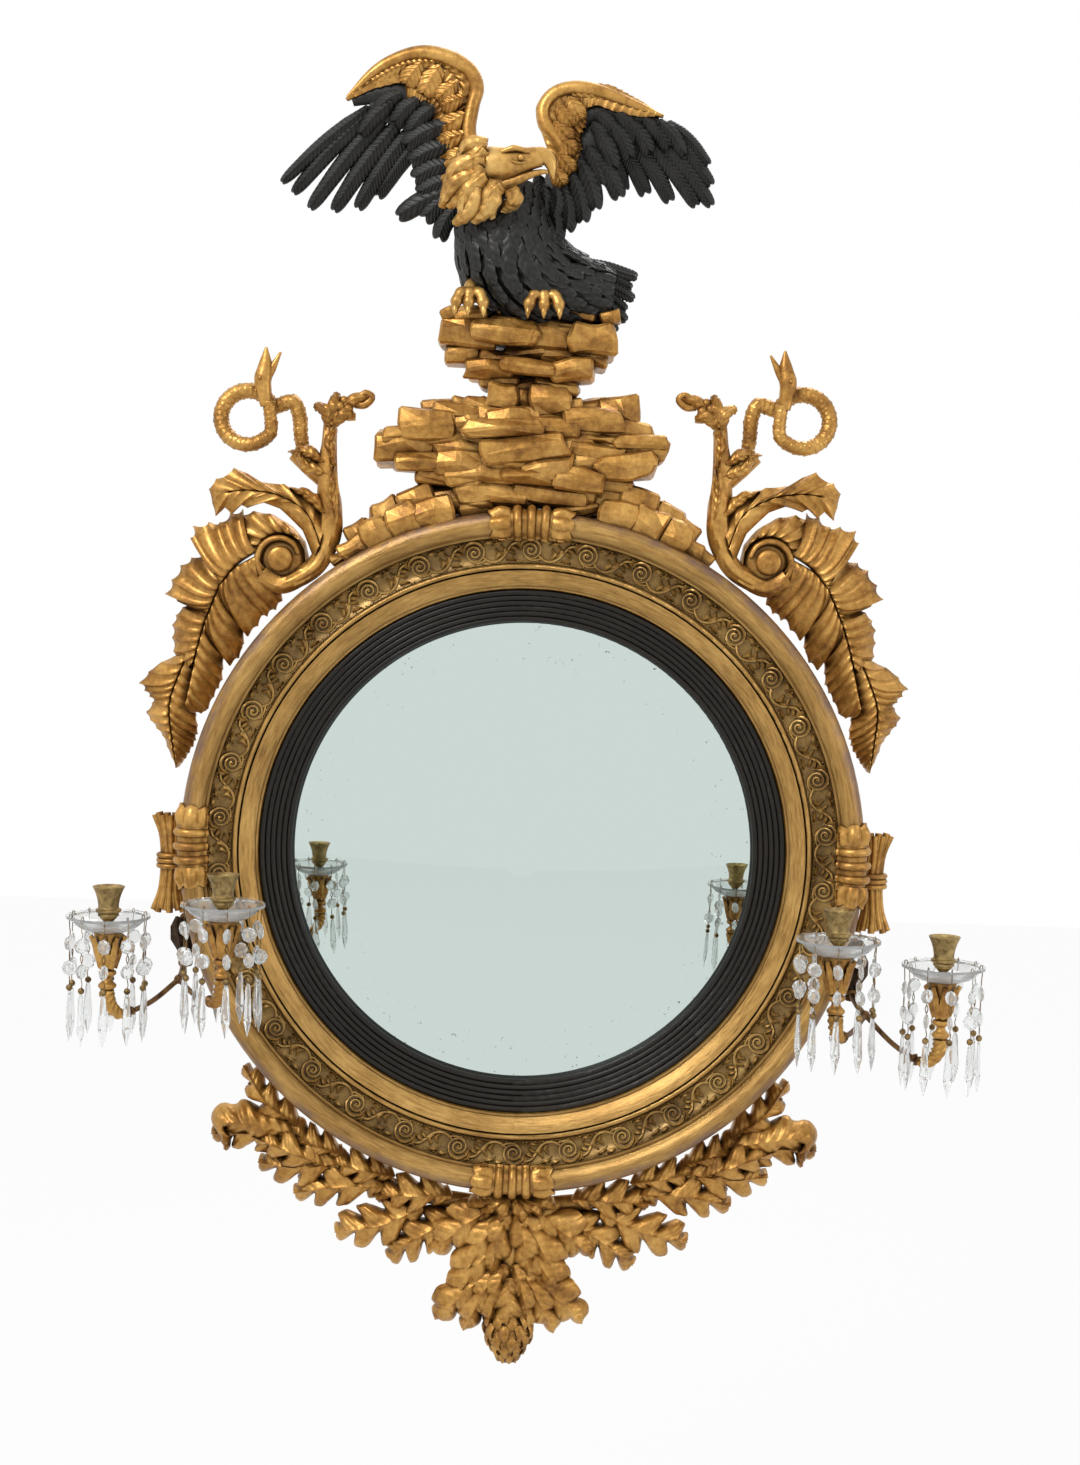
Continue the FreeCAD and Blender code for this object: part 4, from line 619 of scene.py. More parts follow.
# ---------------------------------------------------------------- ring
class GIRANDOLE_OT_ring(bpy.types.Operator):
    """Finish the turned ring, slip, glass and back"""

    bl_idname = "girandole.ring"
    bl_label = "Ring and Glass"

    def execute(self, context):
        for node, name in (("frame_ring", "ring"), ("frieze_band", "ground"), ("ebonised_slip", "slip"),
                           ("mirror_plate", "mirror"), ("glazing_blocks", "pine"), ("backboard", "pine"),
                           ("backboard_screws", "iron"), ("frame_back_screws", "iron"), ("hanging_plates", "iron"),
                           ("arm_bracket_left", "iron"), ("arm_bracket_right", "iron")):
            paint(node, finish(name))
        return {"FINISHED"}


def cove(radius_inward):
    """Depth of the frieze's hollow at a distance inside its outer edge."""
    x = radius_inward / 31.0
    return 70.0 - 7.0 * x - 36.0 * x * (1 - x) + 1.6


def on_frieze(angle, round_way, inward, lift=0.9):
    """A point on the frieze from a distance round it and a distance in from its outer edge."""
    return at(angle + math.degrees(round_way / 348.0), -28.0 - inward, cove(inward) + lift)


class GIRANDOLE_OT_frieze(bpy.types.Operator):
    """Model the running scrolls of the frieze"""

    bl_idname = "girandole.frieze"
    bl_label = "Frieze Scrolls"

    def execute(self, context):
        count = context.scene.girandole_carving.scroll_count
        strands = []
        spiral = []
        for k in range(22):
            turn = 0.6 + k * 0.72
            reach = 1.2 + 12.0 * k / 21
            spiral.append(on_frieze(0, reach * math.cos(turn), 14.5 - reach * math.sin(turn), 1.1 + 0.8 * (1 - k / 21)))
        strands.append(tube(spiral, (1.5, 1.2, 1.3, 1.5, 1.5), 5, 84, steps=5))
        strands.append(bead(on_frieze(0, 0, 14.5, 0.8), 1.9, 6, 4))
        stem = [(10, 21), (16, 25.5), (24, 26.5), (32, 22), (38, 14), (44, 7.5), (52, 5.5)]
        strands.append(tube([on_frieze(0, a, b) for a, b in stem], (1.6, 2.0, 1.8, 1.4), 5, 22, steps=5))
        inner = [(-6, 22), (-1, 25.4), (7, 25.6), (14, 22.6)]
        strands.append(tube([on_frieze(0, a, b) for a, b in inner], (1.1, 1.5, 1.3), 5, 12, steps=5))
        for start, bend, end, size in (((24, 25), (27, 18), (24, 12), 4.0), ((30, 22), (34, 16), (31, 9), 4.0), ((-13, 12), (-14, 6), (-9, 2.5), 3.0), ((12, 6), (17, 4), (22, 4), 3.0),
                                       ((37, 15), (42, 16), (47, 20), 3.4), ((41, 10), (47, 12), (52, 15), 3.0),
                                       ((22, 8), (27, 5.5), (33, 5), 2.6), ((35, 24), (42, 25), (48, 25.5), 2.8)):
            strands.append(leaf([on_frieze(0, *start), on_frieze(0, *bend), on_frieze(0, *end)], (size * 0.5, size * 1.35, size, 0.4),
                                (size * 0.5, size * 1.35, size, 0.4), 8, 2, lobes=2.0, cut=0.35, rise=2.0, rib=0.7))
        for k in range(26):
            strands.append(bead(on_frieze(0, -14 + 2.5 * k, (3.4, 27.6, 9.5, 21.0)[k % 4], 0.7), 1.25, 5, 3))
        unit = joined(strands, "scroll_unit")
        copies = [unit]
        for k in range(1, count):
            pick([unit])
            bpy.ops.object.duplicate()
            copy = bpy.context.active_object
            copy.data.transform(Matrix.Rotation(math.tau * k / count, 4, "Y"))
            copies.append(copy)
        band = smooth(joined(copies, "frieze_scrolls"), 60)
        dress(band, "frame", "gilded_composition", finish("frieze"))
        return {"FINISHED"}


MOULDING = Path([Vector((radius, 0, depth)) for radius, depth in (
    (384.5, 27), (391.4, 35), (392.0, 43), (388.0, 53), (387.6, 59), (391.3, 64.5), (392.9, 71), (390.8, 78), (384.5, 83.2), (376.5, 83.6),
    (369.5, 79), (367.3, 73.5), (362.5, 70.5))], Vector((0, 1, 0)))


def on_moulding(angle, round_way, share, lift):
    """A point over the outer moulding, from the distance round the ring and the share across it."""
    here, along, side, face = MOULDING.at(share)
    out = Vector((along.z, 0, -along.x))
    place = here + out * lift
    return at(angle + math.degrees(round_way / 386.0), place.x - RING, place.z)


class GIRANDOLE_OT_ferrules(bpy.types.Operator):
    """Model the banded leaf clasps on the ring"""

    bl_idname = "girandole.ferrules"
    bl_label = "Ferrules"

    def execute(self, context):
        for name, angle in (("top", 0.0), ("right", 90.0), ("bottom", 180.0), ("left", 270.0)):
            pieces = [grid(8, 20, lambda u, v, angle=angle: on_moulding(angle, (u - 0.5) * 62, v * 0.5 + 0.5, 2.6))]
            pieces[0] = solidified(pieces[0], -2.2)
            for shift in (-16.0, 0.0, 16.0):
                points = [on_moulding(angle, shift, share / 16, 2.0) for share in range(17)]
                pieces.append(tube(points, (5.4, 5.8, 5.4), 10, 40, flat=0.95, steps=3,
                                   front=at(angle + 90, 0, 0).normalized()))
            for end in (-1, 1):
                def cup(u, v, end=end, angle=angle):
                    share = v * 0.49 + 0.5
                    petal = abs(math.sin(6 * math.pi * share))
                    length = 6.0 + 19.0 * (0.72 + 0.28 * petal ** 0.7)
                    swell = 4.6 + 3.8 * math.sin(math.pi * min(1.0, u * 1.15)) * petal - 1.2 * u - 2.4 * (1 - petal)
                    vein = 0.9 * math.exp(-((1 - petal) / 0.05) ** 2) * math.sin(math.pi * u)
                    return on_moulding(angle, end * (24.0 + length * u), share, swell - vein + 0.7 * u * u * petal)
                cup_piece = grid(12, 36, cup)
                pieces.append(solidified(cup_piece, 3.5 if end < 0 else -3.5))
            whole = joined(pieces, "clasp_" + name)
            edit(whole, outward)
            smooth(whole, 45)
            dress(whole, "frame", "gilded_wood", finish("gilt"), "ferrule_" + name)
        return {"FINISHED"}


class GIRANDOLE_OT_reeds(bpy.types.Operator):
    """Model the tied bundles of reeds at the sides"""

    bl_idname = "girandole.reeds"
    bl_label = "Reed Bundles"

    def execute(self, context):
        pieces = []
        for k in range(8):
            share = k / 7
            flare = 2.0 + 34.0 * share
            waist = 6.0 + 20.0 * share
            depth = 33.0 + 6.0 * math.sin(math.pi * share) + 1.6 * (k % 2)
            reed = [spot(-RING - flare, -83 + 2.5 * (k % 3), depth), spot(-RING - waist - 2, -56, depth), spot(-RING - waist, -22, depth),
                    spot(-RING - waist - 2, 8, depth), spot(-RING - flare, 34 - 3.0 * (k % 2), depth)]
            pieces.append(tube(reed, (4.1, 3.5, 3.1, 3.5, 4.3), 8, 16))
        for k in range(3):
            height = -28.5 + 6.0 * k
            loop = [spot(-RING + 2, height, 34), spot(-RING - 14, height, 44.5), spot(-RING - 26, height, 41.5), spot(-RING - 31.5, height, 32),
                    spot(-RING - 28, height, 22)]
            pieces.append(tube(loop, (3.3,), 8, 20))
        left = smooth(joined(pieces, "reeds_left"))
        right = twin(left, "reeds_right")
        dress(left, "frame", "gilded_wood", finish("gilt"), "reed_bundle_left")
        dress(right, "frame", "gilded_wood", finish("gilt"), "reed_bundle_right")
        return {"FINISHED"}


# ---------------------------------------------------------------- rockwork
def stone(x, z, depth, width, height, thick, seed, tilt=0.0):
    """One angular slab with bevelled edges and uneven corners."""
    clear()
    bpy.ops.mesh.primitive_cube_add(size=1)
    obj = bpy.context.active_object
    edit(obj, lambda: bpy.ops.mesh.subdivide(number_cuts=1))
    turn = math.radians(tilt)
    for vertex in obj.data.vertices:
        c = vertex.co.copy()
        jolt = noise.noise_vector(Vector((seed * 3.1 + c.x * 2.2, c.y * 2.1 + seed, c.z * 2.3 - seed)))
        size = Vector((width, thick, height))
        middle = 1.0 + 0.16 * (abs(c.x) < 0.1) * (abs(c.z) < 0.3) - 0.10 * (abs(c.z) > 0.3)
        p = Vector((c.x * size.x * (1.0 if abs(c.x) < 0.1 else middle), c.y * size.y * middle, c.z * size.z))
        p += Vector((jolt.x * width * 0.17, jolt.y * thick * 0.12, jolt.z * height * 0.24))
        p = Vector((p.x * math.cos(turn) - p.z * math.sin(turn), p.y, p.x * math.sin(turn) + p.z * math.cos(turn)))
        vertex.co = (spot(x, z, depth) + p) * MM
    edit(obj, lambda: bpy.ops.mesh.bevel(offset=min(3.2, height * 0.12) * MM, segments=1, affect="EDGES"))
    return obj


class GIRANDOLE_OT_rocks(bpy.types.Operator):
    """Build the rockwork under the eagle from angular slabs"""

    bl_idname = "girandole.rocks"
    bl_label = "Rockwork"

    def execute(self, context):
        stones = []
        seed = 1.0
        chance = random.Random(11)
        # height, left end, right end, stones in the row, stone height, depth of the front
        rows = (
            (611, -92, 74, 5, 16, 70), (590, -104, 82, 4, 30, 90), (594, -62, 46, 2, 20, 96), (568, -98, 80, 5, 24, 84), (553, -76, 60, 3, 20, 90),
            (537, -64, 44, 3, 22, 76), (520, -58, 38, 3, 24, 84), (506, -128, -62, 2, 34, 66), (507, 44, 110, 2, 36, 66), (488, -150, 130, 6, 28, 80),
            (484, -66, 44, 2, 20, 94), (466, -172, 152, 6, 30, 78), (460, -46, 26, 1, 24, 97), (446, -152, 134, 6, 26, 84), (430, -92, 76, 3, 22, 92),
            (512, -72, 54, 3, 22, 70), (498, -110, 92, 4, 22, 78), (476, -160, 146, 7, 16, 84), (400, -74, -48, 1, 18, 66), (400, 44, 72, 1, 18, 66),
            (430, -118, 100, 4, 24, 74), (413, -66, 50, 2, 22, 84), (403, -52, 36, 3, 20, 68),
        )
        for height, left, right, count, tall, deep in rows:
            step = (right - left) / count
            for k in range(count):
                reach = deep + chance.uniform(-12, 6)
                stones.append(stone(left + step * (k + 0.5) + chance.uniform(-6, 6), height + chance.uniform(-4, 4), reach * 0.55, step * chance.uniform(1.1, 1.55),
                                    tall * chance.uniform(0.8, 1.35), reach * 0.84, seed, chance.uniform(-9, 9)))
                seed += 1.37
        for x, z, wide, tall, tilt in ((-36, 622, 26, 16, 40), (-75, 609, 40, 16, 5), (50, 618, 32, 20, -14), (82, 612, 24, 14, 10), (-100, 612, 20, 14, 20), (-8, 616, 22, 14, -24)):
            stones.append(stone(x, z, 66, wide, tall, 30, seed, tilt))
            seed += 1.37
        for end in (-1, 1):
            for angle, out, wide, tall, deep in ((8.6, 10, 34, 26, 66), (8, 30, 44, 34, 74), (12, 22, 44, 40, 66), (15, 12, 40, 34, 80), (17.5, 30, 40, 36, 70), (20, 14, 36, 40, 80),
                                                 (22.5, 27, 36, 34, 66), (25, 12, 34, 36, 78), (27.5, 20, 30, 30, 62), (29.5, 8, 30, 24, 74), (32, 6, 24, 18, 60)):
                place = at(end * angle - 0.9 - (1.6 if end > 0 and angle > 26 else 0), out, 0)
                stones.append(stone(place.x, place.z, deep * 0.55, wide * 1.1, tall, deep * 0.84, seed, -end * angle * 1.1 + 14 * noise.noise(Vector((seed, 7, 0)))))
                seed += 1.37
        whole = joined(stones, "rock_slabs")
        edit(whole, outward)
        dress(whole, "frame", "gilded_wood", finish("rock"), "rockwork")
        return {"FINISHED"}


# ---------------------------------------------------------------- eagle
def feather(root, tip, width, depth_root, depth_tip, barbs=13, bow=0.0, rise=2.2, front=FRONT, columns=26):
    """One carved feather between two points given as x and z."""
    a, b = spot(*root, depth_root), spot(*tip, depth_tip)
    middle = (a + b) / 2 + (b - a).cross(FRONT).normalized() * bow
    half = (width * 0.6, width, width * 1.08, width * 1.1, width * 1.05, width)
    return leaf([a, middle, b], half, half, columns, 4, flutes=barbs, groove=0.5, lean=(34, 56), rise=rise, curl=2.0, rib=1.6, tip=0.2 + 0.15 * (barbs < 12),
                front=front)


def shell(centre, spread, reach, direction, depth, flutes=5):
    """A fluted fan of gilt covert feathers."""
    angle = math.radians(direction)
    ahead = Vector((math.cos(angle), 0, math.sin(angle)))
    start = spot(*centre, depth)
    half = (spread * 0.7, spread, spread, spread * 0.95)
    return leaf([start, start + ahead * reach * 0.5 + FRONT * 3, start + ahead * reach], half, half, 32, 6, flutes=flutes, groove=0.9,
                lean=(30, 50), rise=4.5, curl=1.0, rib=1.4, tip=0.5)


class GIRANDOLE_OT_wings(bpy.types.Operator):
    """Carve the eagle's wings feather by feather"""

    bl_idname = "girandole.wings"
    bl_label = "Wings"

    def execute(self, context):
        thickness = context.scene.girandole_carving.feather_thickness
        depth = 58.0
        left = []
        primaries = (((-196, 842), (-294, 757), 10.0), ((-186, 846), (-281, 746), 11.5), ((-174, 840), (-262, 730), 12.5),
                     ((-160, 832), (-235, 729), 13.0), ((-146, 824), (-208, 733), 13.0), ((-132, 815), (-186, 748), 13.0))
        for k, (root, tip, width) in enumerate(primaries):
            left.append(feather(root, tip, width, depth - 2 - k * 1.3, depth - 6 - k * 2.4, 22, 3.0, columns=40))
        rows = (
            ((-160, 856), (-186, 838), 13, 4), ((-140, 850), (-166, 826), 14, 5), ((-122, 842), (-148, 816), 14, 6), ((-170, 846), (-204, 812), 12, 3),
            ((-116, 820), (-152, 800), 15, 6), ((-104, 800), (-146, 782), 15, 6), ((-104, 824), (-134, 806), 14, 7),
            ((-102, 780), (-142, 764), 15, 5), ((-98, 762), (-136, 748), 15, 4), ((-94, 748), (-130, 722), 16, 2),
            ((-92, 736), (-114, 700), 14, 0), ((-88, 786), (-112, 772), 13, 7), ((-84, 766), (-108, 750), 13, 6),
            ((-100, 752), (-160, 722), 15, 1),
        )
        for root, tip, width, lift in rows:
            left.append(feather(root, tip, width, depth + 2 + lift, depth + lift - 3, 8, 3.0, rise=3.4))
        pad = leaf([spot(-84, 742, depth - 6), spot(-108, 790, depth - 3), spot(-140, 836, depth - 3), spot(-196, 846, depth - 5)],
                   (24, 30, 26, 14), (22, 30, 26, 10), 20, 6, rise=5, rib=0, lean=(0, 0))
        left.append(pad)
        left.append(leaf(line(((-128, 846), (-160, 858), (-190, 856), (-216, 847)), depth - 1), (12, 14, 12, 5), (12, 13, 12, 6), 20, 6, rise=5, rib=0, lean=(0, 0)))
        black = smooth(thickened(joined(left, "left_wing_feathers"), thickness), 55)
        dress(black, "frame", "ebonised_wood", finish("black"), "eagle_wing_left")
        gold = []
        sheet_root = line(((-223, 849), (-190, 880), (-161, 896), (-135, 902), (-106, 896), (-84, 883), (-76, 862), (-85, 846), (-90, 830), (-85, 813), (-68, 788)),
                          depth + 3)
        sheet_edge = line(((-221, 846), (-192, 860), (-158, 869), (-153, 847), (-132, 848), (-125, 832), (-121, 812), (-119, 792), (-111, 770)), depth + 5)
        arm = [(-66, 776), (-80, 800), (-84, 820), (-80, 846), (-76, 864), (-84, 882), (-106, 895), (-134, 901), (-160, 896), (-190, 880), (-221, 850)]
        gold.append(tube([spot(x, z, depth + 5) for x, z in arm], (7, 9, 8.5, 8, 9, 10, 9, 8, 7, 5, 2), 12, 60, flat=1.15))
        gold.append(blade(sheet_root, sheet_edge, 26, 1.5, -0.15, 4.0, 1.0, 0.06, 12, 0.0))
        gold.append(leaf([spot(-118, 890, depth + 6), spot(-158, 886, depth + 6), spot(-192, 868, depth + 4), spot(-221, 849, depth)],
                         (8, 11, 10, 2), (12, 17, 13, 2), 44, 6, flutes=18, groove=0.8, lean=(30, 50), rise=4, rib=1.6, ragged=0.1))
        gold.append(leaf([spot(-96, 846, depth + 4), spot(-90, 868, depth + 6), spot(-104, 884, depth + 6), spot(-134, 892, depth + 5)],
                         (10, 12, 9, 4), (12, 18, 22, 10), 30, 6, flutes=8, groove=1.2, rise=4, curl=2, ragged=0.1))
        for centre, spread, reach, direction in (((-118, 886), 15, 34, 240), ((-100, 868), 13, 26, 225), ((-92, 852), 12, 24, 205), ((-88, 834), 13, 30, 214),
                                                 ((-88, 812), 12, 28, 200), ((-84, 796), 12, 26, 215), ((-76, 782), 12, 28, 225), ((-140, 888), 13, 26, 235)):
            gold.append(shell(centre, spread * 1.15, reach, direction, depth + 7))
        gilt = smooth(thickened(joined(gold[1:], "left_wing_coverts"), thickness), 55)
        edge = smooth(gold[0])
        gilt = joined([gilt, edge], "left_wing_coverts")
        dress(gilt, "frame", "gilded_wood", finish("gilt"))

        right = []
        primaries = (((140, 836), (188, 792), 9.0), ((134, 832), (192, 770), 11.0), ((124, 828), (193, 747), 12.0), ((112, 824), (176, 747), 12.5),
                     ((98, 820), (146, 752), 13.0), ((84, 814), (118, 760), 13.0), ((70, 806), (92, 765), 13.0))
        for k, (root, tip, width) in enumerate(primaries):
            right.append(feather(root, tip, width, depth - 4 - k, depth - 10 - k * 1.6, 18, -3.0, columns=36))
        rows = (
            ((112, 836), (142, 808), 12, 4), ((94, 834), (120, 802), 13, 5), ((76, 830), (98, 796), 13, 6), ((128, 836), (160, 800), 11, 3),
            ((60, 822), (80, 784), 14, 6), ((48, 806), (68, 764), 14, 5), ((42, 788), (62, 738), 14, 4), ((34, 772), (48, 724), 14, 2),
            ((26, 756), (30, 714), 14, 0), ((60, 790), (88, 752), 14, 3), ((16, 760), (14, 724), 12, 3), ((54, 830), (70, 806), 12, 7),
            ((2, 762), (2, 720), 14, 1), ((-4, 774), (-6, 734), 13, -6), ((10, 744), (18, 700), 14, -1), ((-8, 746), (-4, 702), 14, -3), ((58, 842), (84, 816), 13, 6), ((82, 842), (104, 814), 13, 5),
        )
        for root, tip, width, lift in rows:
            right.append(feather(root, tip, width, depth + lift - 1, depth + lift - 6, 8, -3.0, rise=3.4))
        right.append(leaf([spot(14, 736, depth - 9), spot(38, 790, depth - 7), spot(80, 820, depth - 7), spot(138, 830, depth - 8)],
                          (18, 26, 22, 8), (16, 28, 26, 10), 20, 6, rise=5, rib=0, lean=(0, 0)))
        right.append(leaf(line(((38, 834), (64, 843), (98, 839), (130, 836)), depth - 5), (12, 14, 12, 6), (10, 12, 10, 4), 20, 6, rise=5, rib=0, lean=(0, 0)))
        black = smooth(thickened(joined(right, "right_wing_feathers"), thickness), 55)
        dress(black, "frame", "ebonised_wood", finish("black"), "eagle_wing_right")
        arm = [(18, 778), (24, 798), (14, 814), (2, 828), (0, 846), (12, 862), (34, 868), (62, 865), (98, 853), (134, 840)]
        edge = smooth(tube([spot(x, z, depth + 1) for x, z in arm], (6, 8, 9, 8, 8, 9, 8, 7, 5, 2), 12, 50, flat=1.15))
        sheet_root = line(((10, 788), (-4, 825), (-9, 845), (1, 862), (16, 869), (31, 873), (61, 870), (96, 859), (118, 850), (135, 842)), depth)
        sheet_edge = line(((28, 768), (40, 786), (45, 803), (42, 815), (49, 829), (44, 845), (60, 850), (84, 842), (110, 838), (134, 840)), depth + 2)
        gold = [blade(sheet_root, sheet_edge, 24, 1.5, 0.15, 4.0, 1.0, 0.06, 12, 0.0),
                leaf([spot(30, 862, depth + 3), spot(66, 862, depth + 3), spot(100, 852, depth + 1), spot(134, 841, depth - 2)],
                     (12, 15, 11, 2), (7, 9, 8, 2), 40, 6, flutes=15, groove=0.8, lean=(30, 50), rise=4, rib=1.6, ragged=0.1)]
        for centre, spread, reach, direction in (((28, 856), 12, 26, -60), ((16, 846), 12, 26, -50), ((12, 828), 12, 26, -45), ((16, 812), 11, 26, -35),
                                                 ((18, 794), 11, 24, -50), ((12, 780), 11, 22, -60)):
            gold.append(shell(centre, spread * 1.15, reach, direction, depth + 4))
        gilt = joined([smooth(thickened(joined(gold, "right_wing_coverts"), thickness), 55), edge], "right_wing_coverts")
        dress(gilt, "frame", "gilded_wood", finish("gilt"))
        return {"FINISHED"}


class GIRANDOLE_OT_eagle(bpy.types.Operator):
    """Carve the eagle's body, tail, head and feet"""

    bl_idname = "girandole.eagle"
    bl_label = "Eagle"

    def execute(self, context):
        thickness = context.scene.girandole_carving.feather_thickness
        spine = [spot(-45, 758, 66), spot(-43, 714, 68), spot(-29, 672, 66), spot(9, 650, 62), spot(62, 640, 58)]
        girth = (36, 47, 54, 53, 41, 30, 20)
        trunk = tube(spine, girth, 28, 30, flat=0.82)
        path = Path(spine)
        plumes = []
        for row in range(13):
            along = 0.03 + 0.072 * row
            middle, ahead, side, face = path.at(along)
            radius = blend(girth, along)
            count = 15 if row < 9 else 11
            for k in range(count):
                spread = math.radians(-160 + 320 * (k + 0.5 * (row % 2)) / (count - 0.5))
                out = (side * math.sin(spread) + face * (0.82 * math.cos(spread))).normalized()
                start = middle + side * (radius * math.sin(spread)) + face * (radius * 0.82 * math.cos(spread))
                sway = side * (5.0 * noise.noise(Vector((row * 1.3, k * 2.1, 0))))
                length = 34 + 4 * (row > 6)
                half = (5, 9.5, 10.5, 10, 9)
                plumes.append(leaf([start - out * 1.5, start + ahead * length * 0.5 + out * 2.2 + sway * 0.4, start + ahead * length + out * 1.0 + sway],
                                   half, half, 15, 3, flutes=4, groove=0.5, lean=(30, 56), rise=1.8, rib=1.0, front=out, tip=0.4))
        for layer, (reach, count) in enumerate(((0.0, 6), (-24.0, 5))):
            for k in range(count):
                share = k / (count - 1)
                root = spot(38 + 6 * share, 672 - 24 * share, 62 + layer * 7)
                tip = spot(108 - 16 * share * share + reach - 5 * (k % 2), 663 - 60 * share, 46 + layer * 9)
                bend = (root + tip) / 2 + Vector((0, 0, 3))
                half = (6, 8, 8.4, 8.4, 8)
                plumes.append(leaf([root, bend, tip], half, half, 34, 5, flutes=16, groove=0.5, lean=(34, 60), rise=3.0, rib=1.8, tip=0.16))
        cover = solidified(joined(plumes, "plumes"), thickness * 0.7)
        body = smooth(joined([cover, trunk], "eagle_plumage"), 55)
        dress(body, "frame", "ebonised_wood", finish("black"), "eagle_body")

        depth = 116.0
        skull_path = line(((-98, 748, depth - 26), (-80, 758, depth - 8), (-62, 765, depth + 2), (-40, 769, depth + 6), (-20, 773.5, depth + 8), (-6, 776.5, depth + 8),
                           (3, 777, depth + 8), (8.5, 773, depth + 8), (11, 766, depth + 8), (12, 759.5, depth + 8), (13.4, 754, depth + 7)))
        pieces = [tube(skull_path, (15, 19, 22, 23, 21.5, 18.5, 15, 12.5, 10.5, 6.5, 1.0), 20, 64, flat=0.92)]
        pieces.append(tube(line(((-66, 741, depth + 2), (-34, 749, depth + 7), (-14, 757, depth + 9), (1, 761, depth + 9), (7, 760.5, depth + 9))),
                           (9, 7.5, 5.8, 4.4, 2.2), 10, 24, flat=0.9))
        pieces.append(tube(line(((-44, 779, depth + 20), (-31, 783, depth + 21), (-19, 781, depth + 20), (-8, 778, depth + 15))), (2.0, 3.6, 3.0, 1.4), 8, 18))
        pieces.append(tube(line(((-33, 769, depth + 22), (-24, 767, depth + 22), (-15, 770, depth + 18.5))), (1.0, 1.7, 0.9), 8, 12))
        pieces.append(bead(spot(-23, 773, depth + 22.0), 3.8, 12, 8))
        tufts = []
        layout = ((-62, 782, -106, 752, 10), (-66, 774, -106, 736, 10), (-66, 764, -100, 724, 11), (-60, 754, -86, 712, 11), (-50, 748, -72, 708, 11),
                  (-42, 744, -54, 714, 10), (-34, 741, -38, 722, 9), (-58, 786, -92, 772, 9), (-62, 787, -102, 768, 9), (-70, 756, -108, 724, 10),
                  (-50, 750, -66, 732, 8), (-60, 768, -86, 752, 9), (-70, 742, -92, 706, 10), (-42, 742, -50, 726, 8))
        for k, (x0, z0, x1, z1, width) in enumerate(layout):
            lift = 24 - 0.20 * abs(x0 + 40) - 0.12 * abs(z0 - 768)
            root = spot(x0, z0, depth + lift)
            tip = spot(x1, z1, depth + lift - 20)
            swirl = (tip - root).cross(FRONT).normalized() * (8 if k % 2 else -7)
            half = (width * 0.5, width * 0.9, width * 0.75, width * 0.15)
            tufts.append(leaf([root, (root + tip) / 2 + swirl + FRONT * 5, tip], half, half, 24, 5, flutes=5, groove=1.2, lean=(20, 55), rise=4.5, rib=1.5,
                              ragged=0.2))
        ruff = smooth(solidified(joined(tufts, "ruff"), 4.0), 55)
        skull = smooth(joined(pieces, "skull"), 60)
        head = joined([ruff, skull], "eagle_gilt_head")
        dress(head, "frame", "gilded_wood", finish("pale"), "eagle_head")

        toes = []
        for x, spreads in ((-75, (-15, -2, 14)), (7, (-16, 0, 16))):
            toes.append(tube([spot(x + 4, 648, 76), spot(x, 638, 90), spot(x, 625, 97)], (9, 8.5, 9), 10, 14))
            for spread in spreads:
                toe = [spot(x + spread * 0.25, 628, 98), spot(x + spread * 0.7, 630, 104), spot(x + spread, 621, 108), spot(x + spread * 1.08, 613, 108)]
                toes.append(tube(toe, (8.0, 8.2, 6.0, 7.2, 4.0), 10, 18))
                claw = [spot(x + spread * 1.08, 615, 109), spot(x + spread * 1.1, 609, 112), spot(x + spread * 1.1, 604, 110)]
                toes.append(tube(claw, (4.0, 3.0, 0.6), 8, 8))
        feet = smooth(joined(toes, "eagle_gilt_feet"), 60)
        dress(feet, "frame", "gilded_wood", finish("pale"), "eagle_feet")
        return {"FINISHED"}


